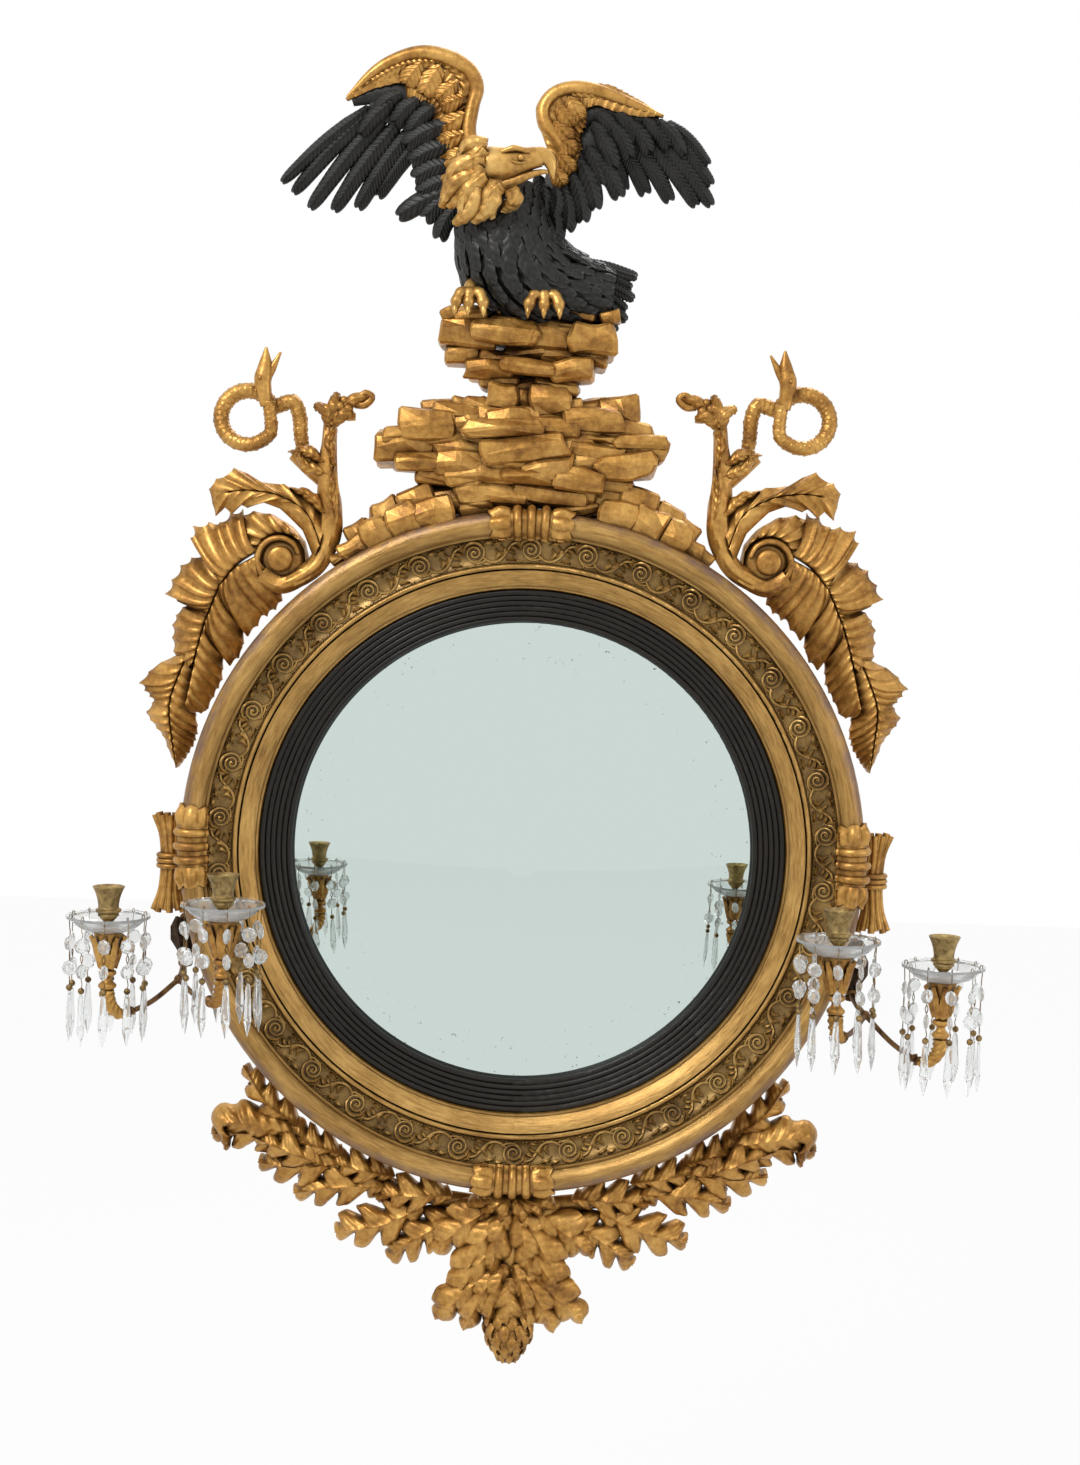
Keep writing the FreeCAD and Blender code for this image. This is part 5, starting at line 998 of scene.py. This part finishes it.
# ---------------------------------------------------------------- side scrolls
class GIRANDOLE_OT_scrolls(bpy.types.Operator):
    """Carve the side scrolls, buds, serpents and acanthus"""

    bl_idname = "girandole.scrolls"
    bl_label = "Side Scrolls"

    def execute(self, context):
        carving = context.scene.girandole_carving
        turn = math.degrees(carving.scroll_turn)
        depth = 48.0
        centre = at(-40.9, 46, depth)
        stem = [at(-25.4, 152, depth - 4), at(-26.4, 134, depth), at(-28.0, 110, depth + 2), at(-29.6, 80, depth + 2), at(-31.2, 52, depth + 2), at(-33.6, 30, depth),
                at(-37.2, 15, depth)]
        spiral = []
        for k in range(16):
            angle = math.radians(-72 - 34 * k)
            reach = 29.0 - 0.92 * k
            spiral.append(centre + Vector((reach * math.cos(angle), 0, reach * math.sin(angle))) + FRONT * (3 + 0.4 * k))
        bars = [tube(stem + spiral[:3], (7, 9, 11, 13, 13, 12, 11, 10, 9), 14, 60, ribs=5, rib_height=0.10, twist=200, flat=0.85)]
        bars.append(tube([stem[-2]] + [stem[-1]] + spiral[:9], (8, 9, 7, 5, 4.2, 3.6, 3.0), 12, 70, flat=1.3))
        bars.append(lathe([(0.1, -12), (28, -12), (29, -6), (24, 0), (17, 3.5), (15, 2.5), (14.8, 9), (13.6, 12.5), (9, 14.2), (0.1, 14.8)],
                          centre, 36, 34, FRONT))
        bars.append(tube([at(-29.6, 90, depth - 4), at(-30.2, 112, depth - 3), at(-30.7, 136, depth - 4)], (8, 11, 13.5), 14, 16))
        leaves = []
        rib = line(((-240, 346), (-256, 383), (-286, 402), (-322, 408), (-352, 405)), depth + 8)
        for edge in (((-234, 370), (-250, 399), (-284, 416), (-312, 418), (-326, 427), (-342, 433), (-352, 423), (-362, 420), (-370, 408), (-366, 392)),
                     ((-248, 330), (-262, 364), (-288, 388), (-312, 396), (-326, 388), (-336, 392), (-344, 380), (-352, 388), (-362, 378), (-366, 392))):
            leaves.append(blade(rib, line(edge, depth + 3), 9, 1.7, 0.3, 5.0, 3.0, 0.02, 10, 2.0))
        for points, width in (([at(-28.4, 112, depth + 6), at(-29.6, 128, depth + 9), at(-31.6, 140, depth + 6)], 12),
                              ([at(-28.6, 96, depth + 6), at(-30.6, 118, depth + 10), at(-30.4, 138, depth + 9)], 12),
                              ([at(-27.4, 104, depth + 6), at(-26.6, 128, depth + 8), at(-24.6, 150, depth + 5)], 10),
                              ([at(-30.6, 50, depth + 8), at(-29.2, 78, depth + 9), at(-27.4, 100, depth + 6)], 10),
                              ([at(-31.6, 60, depth + 9), at(-32.2, 84, depth + 11), at(-33.8, 104, depth + 9)], 10)):
            half = (width * 0.4, width, width * 0.85, width * 0.2)
            leaves.append(leaf(points, half, half, 26, 6, lobes=3, cut=0.25, flutes=6, groove=0.9, rise=4.5, curl=2.5, rib=1.4))
        sheets = smooth(thickened(joined(leaves, "sheaths"), carving.leaf_thickness), 55)
        stalks = smooth(joined(bars, "stalks"), 50)
        whole = joined([sheets, stalks], "scroll_carving_left")
        self.pair(whole, "scroll", turn)

        back = 38.0
        loop = at(-33.7, 198, 0)
        points = [at(-30.3, 128, back), at(-29.6, 150, back), at(-28.6, 172, back), at(-28.6, 190, back)]
        for k in range(11):
            angle = math.radians(28 + 30.5 * k)
            points.append(Vector((loop.x + 31 * math.cos(angle), -(back + 19.5 * k / 10), loop.z + 31 * math.sin(angle))))
        points.append(at(-30.8, 200, back + 19.5))
        snake = [tube(points, (7.4, 8.2, 8.6, 8.8, 8.4, 7.6, 6.6), 24, 300, scales=1.3, steps=8)]
        face = back + 21.0
        snake.append(tube([at(-31.3, 197, face), at(-30.7, 212, face), at(-30.2, 224, face + 1), at(-29.2, 238, face + 1), at(-28.3, 255, face + 1)],
                          (6.2, 8.8, 10.2, 7.4, 1.4), 14, 30, flat=0.8))
        snake.append(tube([at(-30.4, 220, face), at(-28.9, 230, face), at(-27.2, 243, face)], (6.0, 4.8, 1.3), 12, 18, flat=0.8))
        snake.append(bead(at(-30.3, 227, face + 8), 2.6, 10, 6))
        whole = smooth(joined(snake, "serpent_carving_left"), 40)
        self.pair(whole, "serpent", turn)

        sprigs = []
        for a, b, c, width in ((at(-25.6, 148, depth), at(-25.4, 160, depth + 8), at(-26.2, 172, depth + 4), 9),
                               (at(-25.4, 148, depth + 2), at(-24.4, 162, depth + 8), at(-23.6, 174, depth + 2), 9),
                               (at(-25.2, 146, depth + 4), at(-23.8, 150, depth + 10), at(-22.6, 144, depth + 6), 8),
                               (at(-24.0, 156, depth), at(-22.0, 162, depth + 4), at(-20.2, 160, depth), 7)):
            half = (width * 0.5, width, width * 0.8, width * 0.2)
            sprigs.append(leaf([a, b, c], half, half, 18, 5, lobes=2, cut=0.25, flutes=4, groove=0.8, rise=4, rib=1.2))
        berries = [bead(at(angle, out, depth + lift), size, 12, 8) for angle, out, lift, size in
                   ((-23.7, 160, 8, 6.5), (-22.9, 154, 9, 6.0), (-23.9, 151, 9, 6.0), (-23.0, 165, 6, 5.6), (-22.2, 160, 7, 5.2), (-24.4, 157, 5, 5.5),
                    (-23.2, 146, 6, 5.0))]
        berries.append(tube([at(-26.0, 138, depth - 2), at(-25.3, 150, depth), at(-24.4, 158, depth + 3)], (6.5, 6.5, 5.5), 10, 16))
        berries.append(tube([at(-22.0, 157, depth + 2), at(-20.9, 153, depth + 3), at(-19.8, 158, depth + 4), at(-20.3, 165, depth + 5), at(-21.2, 163, depth + 6)],
                            (4.5, 4.8, 4.4, 3.8, 2.8), 10, 24))
        green = solidified(joined(sprigs, "sprigs"), 3.5)
        whole = smooth(joined([green] + berries, "buds_left"), 55)
        self.pair(whole, "bud_spray", turn)

        low = depth - 4
        acanthus = []
        for root, edge, flutes, lift in (
                (((-308, 342), (-334, 325), (-350, 306)), ((-332, 386), (-346, 381), (-358, 370), (-370, 370), (-388, 365), (-391, 351), (-370, 330)), 6, 4),
                (((-346, 312), (-358, 291), (-367, 270)), ((-374, 334), (-390, 329), (-402, 320), (-412, 303), (-419, 287), (-405, 279), (-386, 276)), 6, 2),
                (((-364, 278), (-374, 249), (-384, 212)), ((-388, 280), (-404, 269), (-411, 254), (-411, 234), (-408, 212), (-398, 200)), 7, 0),
                (((-308, 338), (-336, 322), (-352, 304)), ((-286, 304), (-286, 281), (-297, 270), (-309, 262), (-323, 240), (-336, 256)), 6, 4),
                (((-350, 308), (-360, 288), (-370, 262)), ((-332, 266), (-329, 247), (-330, 225), (-343, 205), (-354, 220)), 5, 2),
                (((-368, 268), (-380, 228), (-392, 165)), ((-351, 232), (-353, 208), (-354, 188), (-362, 173), (-372, 151), (-386, 150)), 8, 0)):
            acanthus.append(blade(line(root, low + lift + 5), line(edge, low + lift - 4), flutes, 3.3, 0.35, 8.0, 7.0, 0.07, 12, 5.0))
        fan = [centre + Vector((29 * math.cos(math.radians(turned)), 0, 29 * math.sin(math.radians(turned)))) for turned in (-4, 30, 64, 98, 130, 160)]
        acanthus.append(blade(fan, line(((-254, 328), (-260, 352), (-275, 369), (-298, 382), (-321, 385), (-338, 376), (-342, 352), (-334, 334)), low), 9, 2.2, 0.2, 6.0, 4.0,
                              0.05, 10, 2.0))
        under = line(((-389, 224), (-402, 194), (-412, 160), (-408, 120), (-403, 90)), low)
        for edge in (((-408, 216), (-430, 205), (-449, 184), (-440, 172), (-432, 163), (-441, 148), (-430, 134), (-420, 122), (-413, 104), (-404, 86)),
                     ((-378, 212), (-384, 178), (-385, 156), (-381, 130), (-385, 114), (-394, 98), (-402, 87))):
            acanthus.append(blade(under, line(edge, low - 7), 13, 2.9, 0.4, 7.0, 5.0, 0.08, 10, 3.0))
        whole = smooth(thickened(joined(acanthus, "acanthus_carving_left"), carving.leaf_thickness + 3.0), 60)
        self.pair(whole, "acanthus", turn)
        return {"FINISHED"}

    def pair(self, left, node, turn):
        right = twin(left, left.name.replace("left", "right"), turn)
        dress(left, "frame", "gilded_wood", finish("gilt"), node + "_left")
        dress(right, "frame", "gilded_wood", finish("gilt"), node + "_right")


def oak_leaf(root, tip, width, bend=0.0, lift=10.0, lobes=4.0):
    """A broad lobed leaf with a bold vein to each lobe."""
    middle = (root + tip) / 2 + (tip - root).cross(FRONT).normalized() * bend + FRONT * lift
    half = (width * 0.45, width * 0.95, width * 1.12, width * 1.08, width * 0.85, width * 0.6)
    return leaf([root, middle, tip], half, half, 72, 8, lobes=lobes - 0.5, cut=0.56, flutes=lobes * 4 - 2, groove=0.7, lean=(22, 52), rise=5, curl=6, rib=2.4,
                valley=4.5, shift=0.1, tip=0.22, notch=3.4)


class GIRANDOLE_OT_apron(bpy.types.Operator):
    """Carve the leafy apron under the ring"""

    bl_idname = "girandole.apron"
    bl_label = "Apron"

    def execute(self, context):
        carving = context.scene.girandole_carving
        depth = 42.0
        stem = [at(-132 - 6 * k, 26 + 6 * math.sin(math.radians(k * 24)), depth - 8) for k in range(8)]
        bars = [tube(stem, (5, 7, 8, 9, 10), 12, 40, ribs=4, rib_height=0.08, twist=300)]
        layout = (
            (-172, 40, -163.5, 112, 30, 4, 6, 8), (-166, 40, -155.6, 106, 30, -5, 8, 10), (-160, 30, -148.0, 90, 29, 6, 9, 9),
            (-152, 26, -141.5, 86, 28, -4, 10, 8), (-170, 18, -158.5, 46, 26, 3, 14, 12), (-160, 16, -149.5, 36, 22, 2, 15, 10),
            (-151, 20, -141.0, 30, 20, -2, 14, 8), (-146, 34, -134.0, 100, 27, 8, 6, 6), (-143, 22, -129.5, 20, 20, -6, 12, 6),
            (-150, 40, -138.5, 66, 22, 3, 16, 12),
        )
        leaves = []
        for a0, o0, a1, o1, width, bend, lift, front in layout:
            leaves.append(oak_leaf(at(a0, o0, depth + front - 6), at(a1, o1, depth + front - 10), width, bend, lift, 4.0))
        cornucopia = [at(-143, 30, depth), at(-138, 50, depth + 6), at(-134, 76, depth + 6), at(-136.5, 98, depth)]
        leaves.append(leaf(cornucopia, (16, 24, 26, 18, 8), (16, 26, 28, 20, 6), 60, 8, lobes=4, cut=0.25, flutes=10, groove=1.6, lean=(15, 60), rise=10, curl=8,
                           rib=1.5))
        sheets = thickened(joined(leaves, "spray_leaves"), carving.leaf_thickness)
        left = smooth(joined([sheets] + bars, "apron_carving_left"), 55)
        right = twin(left, "apron_carving_right")
        dress(left, "frame", "gilded_wood", finish("gilt"), "apron_spray_left")
        dress(right, "frame", "gilded_wood", finish("gilt"), "apron_spray_right")

        depth = 52.0
        leaves = []
        for side in (-1, 1):
            for spread, start, drop, width, front in ((11.0, 22, 84, 26, 0), (6.5, 30, 118, 24, 4), (2.6, 24, 106, 20, 8), (8.6, 96, 162, 24, 2),
                                                      (5.2, 92, 168, 20, 6), (2.4, 90, 160, 18, 10), (7.0, 60, 140, 22, 4)):
                leaves.append(oak_leaf(at(180 + side * spread * 0.28, start, depth + front - 4), at(180 + side * spread, drop, depth + front - 6), width,
                                       3 * side, 9, 3.0))
            for spread in (1.6, 4.4, 6.6):
                leaves.append(oak_leaf(at(180 + side * 0.5, 8, depth + 2), at(180 + side * spread, 38 - 2.4 * spread, depth + 10 - spread), 9, side, 6, 2.0))
        leaves.append(oak_leaf(at(180, 104, depth + 12), at(180.2, 166, depth + 12), 17, 0, 8, 3.0))
        spine = tube([at(180, 10, depth - 8), at(180, 60, depth - 2), at(180, 120, depth + 2), at(180, 150, depth)], (12, 12, 11, 12), 14, 24, ribs=6,
                     rib_height=0.10)
        cone = lathe([(0.1, 58), (14, 55), (23, 44), (25, 30), (20, 16), (10, 5), (0.1, 0)], at(180, 204, depth), 40, 40, UP, lobes=12, depth=0.10, lean=9.0)
        scales = []
        for row in range(5):
            height = 48 - 10 * row
            radius = (21, 24, 22, 16, 9)[row]
            for k in range(9):
                angle = math.tau * (k + 0.5 * (row % 2)) / 9
                out = Vector((math.cos(angle), math.sin(angle), 0))
                root = at(180, 204, depth) + UP * (height + 6) + out * (radius - 2)
                half = (3, 5.5, 5, 1)
                scales.append(leaf([root, root + out * 3.2 - UP * 7, root + out * 0.5 - UP * 14], half, half, 8, 3, rise=1.6, rib=0.8, front=out))
        sheets = solidified(joined(leaves + scales, "pendant_leaves"), 4.0)
        whole = smooth(joined([sheets, spine, cone], "apron_pendant_carving"), 55)
        dress(whole, "frame", "gilded_wood", finish("gilt"), "apron_pendant")
        return {"FINISHED"}


# ---------------------------------------------------------------- candle arms
def rim_of(kind):
    x, y, z, side = CANDLES[kind]
    return Vector((x, y, z)), side


def horn_points(kind):
    rim, side = rim_of(kind)
    fork = FORKS[side]
    ahead = Vector((rim.x - fork.x, rim.y - fork.y, 0)).normalized()
    foot = rim - UP * HORN_DROP - ahead * HORN_FOOT
    cup = rim - UP * 116.0
    return fork, foot, [foot, foot + ahead * 10 + UP * 2, foot + ahead * (HORN_FOOT - 4) + UP * 12, cup - UP * 6, cup]


class GIRANDOLE_OT_arms(bpy.types.Operator):
    """Model the arms, horns, cups and nozzles"""

    bl_idname = "girandole.arms"
    bl_label = "Candle Arms"

    def execute(self, context):
        for side, name in ((-1, "left"), (1, "right")):
            hub, fork = HUBS[side], FORKS[side]
            pieces = [lathe([(0.1, -7.5), (6.5, -7.5), (8.2, -5.5), (8.4, -2), (6.6, 0), (8.4, 2), (8.2, 5.5), (6.5, 7.5), (0.1, 7.5)], hub, 20, 30),
                      lathe([(0.1, 0), (5, 0), (5, 51), (0.1, 51)], hub, 16, 10, eased_profile=False),
                      lathe([(0.1, 0), (7.0, 0.2), (7.2, 2), (5, 4.6), (2, 5.8), (0.1, 6)], hub + UP * 50.1, 16, 16),
                      bead(fork, 5.5, 14, 10, axis=UP)]
            pieces.append(tube([hub + FRONT * 4, (hub + fork) / 2 - UP * 3, fork], (4.4, 3.6, 3.6), 12, 16, front=UP))
            for kind in (k for k in CANDLES if k.endswith(name)):
                start, foot, horn = horn_points(kind)
                pieces.append(tube([start, (start + foot) / 2 - UP * 5, foot], (3.0,), 12, 24, front=UP))
                ahead = (foot - start).normalized()
                pieces.append(tube([foot - ahead * 11, foot - ahead * 8, foot - ahead * 5, foot - ahead * 2, foot - ahead * 0.2], (3, 6.2, 4, 6.6, 5), 14, 20, front=UP))
            whole = smooth(joined(pieces, "arm_casting_" + name), 50)
            dress(whole, "arm_" + name, "bronze", finish("bronze"), "arm_" + name)
        for kind in CANDLES:
            rim, side = rim_of(kind)
            body = "arm_left" if side < 0 else "arm_right"
            points = horn_points(kind)[2]
            rope = smooth(tube(points, (5.0, 6.4, 7.4, 8.0), 28, 44, ribs=4, rib_height=0.15, twist=520, front=FRONT), 60)
            rope.name = "rope_horn_" + kind
            dress(rope, body, "gilded_wood", finish("gilt"), "horn_" + kind)
            top = -50.4
            cup = lathe([(0.1, -115.9), (6, -115.8), (10.2, -111), (6, -106), (5, -102), (9.4, -98.5), (9.4, -95), (6, -92), (7.5, -84), (11, -74), (12.4, -64),
                         (15.2, -55), (15.3, -52), (13.8, top), (8, top)], rim, 32, 60)
            petals = []
            for k in range(8):
                angle = math.tau * k / 8
                out = Vector((math.cos(angle), math.sin(angle), 0))
                foot = rim - UP * 91 + out * 6.2
                half = (2.6, 5.2, 5.8, 4.4, 0.8)
                petals.append(leaf([foot, foot + UP * 14 + out * 4.4, foot + UP * 27 + out * 7.6, foot + UP * 36 + out * 11.0], half, half, 20, 4, lobes=3, cut=0.2,
                                   flutes=5, groove=0.5, rise=1.8, rib=0.9, front=out))
            petals = solidified(joined(petals, "petals"), 1.8)
            whole = smooth(joined([cup, petals], "leafy_cup_" + kind), 50)
            dress(whole, body, "gilded_wood", finish("gilt"), "candle_cup_" + kind)
            cup = lathe([(0.1, -46), (12.8, -46), (13, -44.6), (4.2, -43.4), (4, -41), (7.6, -37), (9.6, -35), (9.8, -33.6), (11.6, -33), (11.6, -31), (11.0, -30),
                         (14, -28.4), (14, -25.6), (11.2, -24), (11.4, -20), (12.4, -14), (14.4, -7.5), (17.2, -1.4), (17.8, -0.4), (17.2, 0), (13.4, -2.4),
                         (10.2, -5.5), (10.05, -20), (10.05, -32), (0.1, -32)], rim, 32, 110, eased_profile=False)
            dress(smooth(cup, 40), body, "old_brass", finish("brass"), "nozzle_" + kind)
        return {"FINISHED"}


def drop_angle(kind, index, count):
    start, foot, horn = horn_points(kind)
    towards = start - foot
    return math.atan2(towards.y, towards.x) + math.tau * (index + 0.5) / count


def flat_lathe(levels, centre, out, sidewards, sides, squeeze):
    """A faceted piece round an upright axis, from (height, radius, twist) levels."""
    rows = len(levels) - 1

    def place(along, across):
        row = min(int(along * rows + 0.5), rows)
        height, radius, twist = levels[row]
        angle = math.pi * across + twist * math.pi / sides
        return centre + sidewards * (radius * math.cos(angle)) + out * (radius * squeeze * math.sin(angle)) + UP * height

    obj = grid(rows, sides, place)
    edit(obj, merge_and_fill, outward)
    return obj


def cut_button(centre, out, sidewards, radius):
    """An octagonal button with a table and a girdle on each side."""
    levels = ((-2.5, 0.46), (-1.3, 0.84), (0.0, 1.0), (1.3, 0.84), (2.5, 0.46))
    rows = len(levels) - 1

    def place(along, across):
        row = min(int(along * rows + 0.5), rows)
        shift, size = levels[row]
        angle = math.pi * across + (math.pi / 8 if row % 2 else 0.0)
        reach = radius * size
        return centre + out * shift + sidewards * (reach * math.cos(angle)) + UP * (reach * math.sin(angle))

    obj = grid(rows, 8, place)
    edit(obj, merge_and_fill, outward)
    return obj


class GIRANDOLE_OT_lustres(bpy.types.Operator):
    """Model the drip pans' cut-glass drops and their wires"""

    bl_idname = "girandole.lustres"
    bl_label = "Glass Drops"

    def execute(self, context):
        lustres = context.scene.girandole_lustres
        radius = lustres.button_radius
        length = lustres.prism_length
        for kind in CANDLES:
            rim, side = rim_of(kind)
            body = "pan_" + kind
            glass, wire = [], []
            for k in range(lustres.drops):
                angle = drop_angle(kind, k, lustres.drops)
                out = Vector((math.cos(angle), math.sin(angle), 0))
                way = Vector((-math.sin(angle), math.cos(angle), 0))
                hook = rim + out * 42.0 + UP * (-46.2 + 13.0)
                first = hook - UP * 28.5
                second = first - UP * 28.0
                ball = second - UP * 21.5
                for place, turned in ((first, 0.9), (second, 1.3)):
                    swing = angle + turned * math.sin(k * 2.4 + place.z) * 1.2
                    glass.append(cut_button(place, Vector((math.cos(swing), math.sin(swing), 0)), Vector((-math.sin(swing), math.cos(swing), 0)), radius))
                tip = ball - UP * 3.4
                levels = ((0.0, 2.0, 0), (-5.0, 3.3, 1), (-length * 0.62, 5.5, 0), (-length * 0.72, 5.0, 1), (-length, 0.35, 0))
                glass.append(flat_lathe(levels, tip, out, way, 6, 0.62))
                wire.append(tube([hook - UP * 14 + out * 0.2, hook + UP * 1.5 + out * 0.8, hook + UP * 3.2 - out * 1.6, hook - UP * 1 - out * 2.6], (0.55,), 4, 12,
                                 front=way))
                wire.append(tube([hook - UP * 13, hook - UP * 16.5 + way * 1.4, first + UP * (radius + 0.1)], (0.55,), 4, 6, front=out))
                wire.append(tube([first - UP * radius, (first + second) / 2 + way * 1.6, second + UP * radius], (0.6,), 4, 8, front=out))
                wire.append(tube([(first + second) / 2 + UP * 5, (first + second) / 2 - way * 1.6, (first + second) / 2 - UP * 5], (0.6,), 4, 8, front=out))
                wire.append(tube([second - UP * radius, second - UP * (radius + 6) + way * 1.2, ball + UP * 3], (0.6,), 4, 8, front=out))
                wire.append(bead(ball, 3.7, 8, 6, axis=UP))
            drops = joined(glass, "cut_drops_" + kind)
            dress(drops, body, "cut_glass", finish("glass"), "drop_glass_" + kind)
            links = smooth(joined(wire, "drop_wires_" + kind), 60)
            dress(links, body, "brass_wire", finish("wire"), "drop_links_" + kind)
            paint("drip_pan_" + kind, finish("glass"))
        return {"FINISHED"}


# ---------------------------------------------------------------- stage
def add_area(name, place, target, size, power, colour=(1, 1, 1)):
    clear()
    bpy.ops.object.light_add(type="AREA", location=place)
    lamp = bpy.context.active_object
    lamp.name = name
    lamp.data.shape = "DISK"
    lamp.data.size = size
    lamp.data.energy = power
    lamp.data.color = colour
    lamp.rotation_euler = (Vector(target) - Vector(place)).to_track_quat("-Z", "Y").to_euler()


class GIRANDOLE_OT_stage(bpy.types.Operator):
    """Set up the camera, floor, lamps and world"""

    bl_idname = "girandole.stage"
    bl_label = "Stage"

    def execute(self, context):
        stage = context.scene.girandole_stage
        clear()
        bpy.ops.mesh.primitive_plane_add(size=14, location=(0, 0, -1.15))
        floor = bpy.context.active_object
        floor.name = "floor"
        paper = Mixer("pale_floor")
        tone = paper.noise(3, 3)
        base = paper.mix(tone, tuple(stage.floor_colour), tuple(c * 0.985 for c in stage.floor_colour))
        paper.link(base, paper.shader.inputs["Base Color"])
        paper.set(Roughness=0.9)
        glow = paper.node("Emission")
        glow.inputs["Strength"].default_value = 1.0
        glow.inputs["Color"].default_value = (1, 1, 1, 1)
        rays = paper.node("LightPath")
        mix = paper.node("MixShader")
        share = paper.math("MULTIPLY", paper.math("MAXIMUM", rays.outputs["Is Camera Ray"], rays.outputs["Is Glossy Ray"]), 0.94)
        paper.link(share, mix.inputs[0])
        paper.link(paper.shader.outputs[0], mix.inputs[1])
        paper.link(glow.outputs[0], mix.inputs[2])
        paper.link(mix.outputs[0], paper.tree.nodes["Material Output"].inputs["Surface"])
        floor.data.materials.append(paper.material)

        world = bpy.data.worlds.new("studio")
        context.scene.world = world
        world.use_nodes = True
        tree = world.node_tree
        tree.nodes.clear()
        rays = tree.nodes.new("ShaderNodeLightPath")
        seen = tree.nodes.new("ShaderNodeMath")
        seen.operation = "MAXIMUM"
        tree.links.new(rays.outputs["Is Camera Ray"], seen.inputs[0])
        tree.links.new(rays.outputs["Is Glossy Ray"], seen.inputs[1])
        through = tree.nodes.new("ShaderNodeMath")
        through.operation = "MULTIPLY_ADD"
        through.use_clamp = True
        through.inputs[1].default_value = 0.6
        tree.links.new(rays.outputs["Is Transmission Ray"], through.inputs[0])
        tree.links.new(seen.outputs[0], through.inputs[2])
        soft = tree.nodes.new("ShaderNodeBackground")
        soft.inputs["Color"].default_value = (1.0, 0.99, 0.975, 1)
        soft.inputs["Strength"].default_value = 0.45
        white = tree.nodes.new("ShaderNodeBackground")
        white.inputs["Color"].default_value = (1, 1, 1, 1)
        white.inputs["Strength"].default_value = 1.0
        mix = tree.nodes.new("ShaderNodeMixShader")
        tree.links.new(through.outputs[0], mix.inputs[0])
        tree.links.new(soft.outputs[0], mix.inputs[1])
        tree.links.new(white.outputs[0], mix.inputs[2])
        out = tree.nodes.new("ShaderNodeOutputWorld")
        tree.links.new(mix.outputs[0], out.inputs["Surface"])

        add_area("key", (-1.6, -2.2, 2.5), (0, 0, 0.1), 1.1, 66)
        add_area("fill", (3.2, -1.7, 0.5), (0, 0, 0.1), 1.4, 14)
        add_area("rim", (0.6, 1.6, 2.4), (0, 0, 0.2), 1.5, 22)

        aim = Vector((0.0165, -0.06, 0.1411))
        distance = 1.1477 * stage.lens * 1465 / 36 * MM
        rise = math.radians(3.7)
        ahead = Vector((0, math.cos(rise), -math.sin(rise)))
        tilt = math.radians(1.7)
        above = Vector((0, math.sin(rise), math.cos(rise)))
        across = ahead.cross(above)
        up = above * math.cos(tilt) - across * math.sin(tilt)
        right = ahead.cross(up)
        camera_data = bpy.data.cameras.new("camera")
        camera_data.lens = stage.lens
        camera_data.sensor_width = 36
        camera_data.sensor_height = 36
        camera = bpy.data.objects.new("camera", camera_data)
        context.scene.collection.objects.link(camera)
        place = aim - ahead * distance
        camera.matrix_world = Matrix(((right.x, up.x, -ahead.x, place.x), (right.y, up.y, -ahead.y, place.y), (right.z, up.z, -ahead.z, place.z), (0, 0, 0, 1)))
        context.scene.camera = camera
        context.scene.view_settings.view_transform = "Standard"
        return {"FINISHED"}


# ---------------------------------------------------------------- panel
class GIRANDOLE_PT_panel(bpy.types.Panel):
    """Lists the girandole's settings and its modelling steps"""

    bl_label = "Girandole Mirror"
    bl_idname = "GIRANDOLE_PT_panel"
    bl_space_type = "VIEW_3D"
    bl_region_type = "UI"
    bl_category = "Girandole"

    def draw(self, context):
        for group in (context.scene.girandole_carving, context.scene.girandole_lustres, context.scene.girandole_stage):
            box = self.layout.box()
            for key in group.__annotations__:
                box.prop(group, key)
        for step in STEPS:
            self.layout.operator(step.bl_idname)


STEPS = (GIRANDOLE_OT_ring, GIRANDOLE_OT_frieze, GIRANDOLE_OT_ferrules, GIRANDOLE_OT_reeds, GIRANDOLE_OT_rocks, GIRANDOLE_OT_wings, GIRANDOLE_OT_eagle,
         GIRANDOLE_OT_scrolls, GIRANDOLE_OT_apron, GIRANDOLE_OT_arms, GIRANDOLE_OT_lustres, GIRANDOLE_OT_stage)
GROUPS = (GirandoleCarving, GirandoleLustres, GirandoleStage)


def register():
    for item in GROUPS + STEPS + (GIRANDOLE_PT_panel,):
        bpy.utils.register_class(item)
    bpy.types.Scene.girandole_carving = bpy.props.PointerProperty(type=GirandoleCarving)
    bpy.types.Scene.girandole_lustres = bpy.props.PointerProperty(type=GirandoleLustres)
    bpy.types.Scene.girandole_stage = bpy.props.PointerProperty(type=GirandoleStage)


def unregister():
    del bpy.types.Scene.girandole_stage
    del bpy.types.Scene.girandole_lustres
    del bpy.types.Scene.girandole_carving
    for item in reversed(GROUPS + STEPS + (GIRANDOLE_PT_panel,)):
        bpy.utils.unregister_class(item)


def main():
    register()
    Finishes.make()
    for step in STEPS:
        group, name = step.bl_idname.split(".")
        getattr(getattr(bpy.ops, group), name)()


if __name__ == "__main__":
    main()
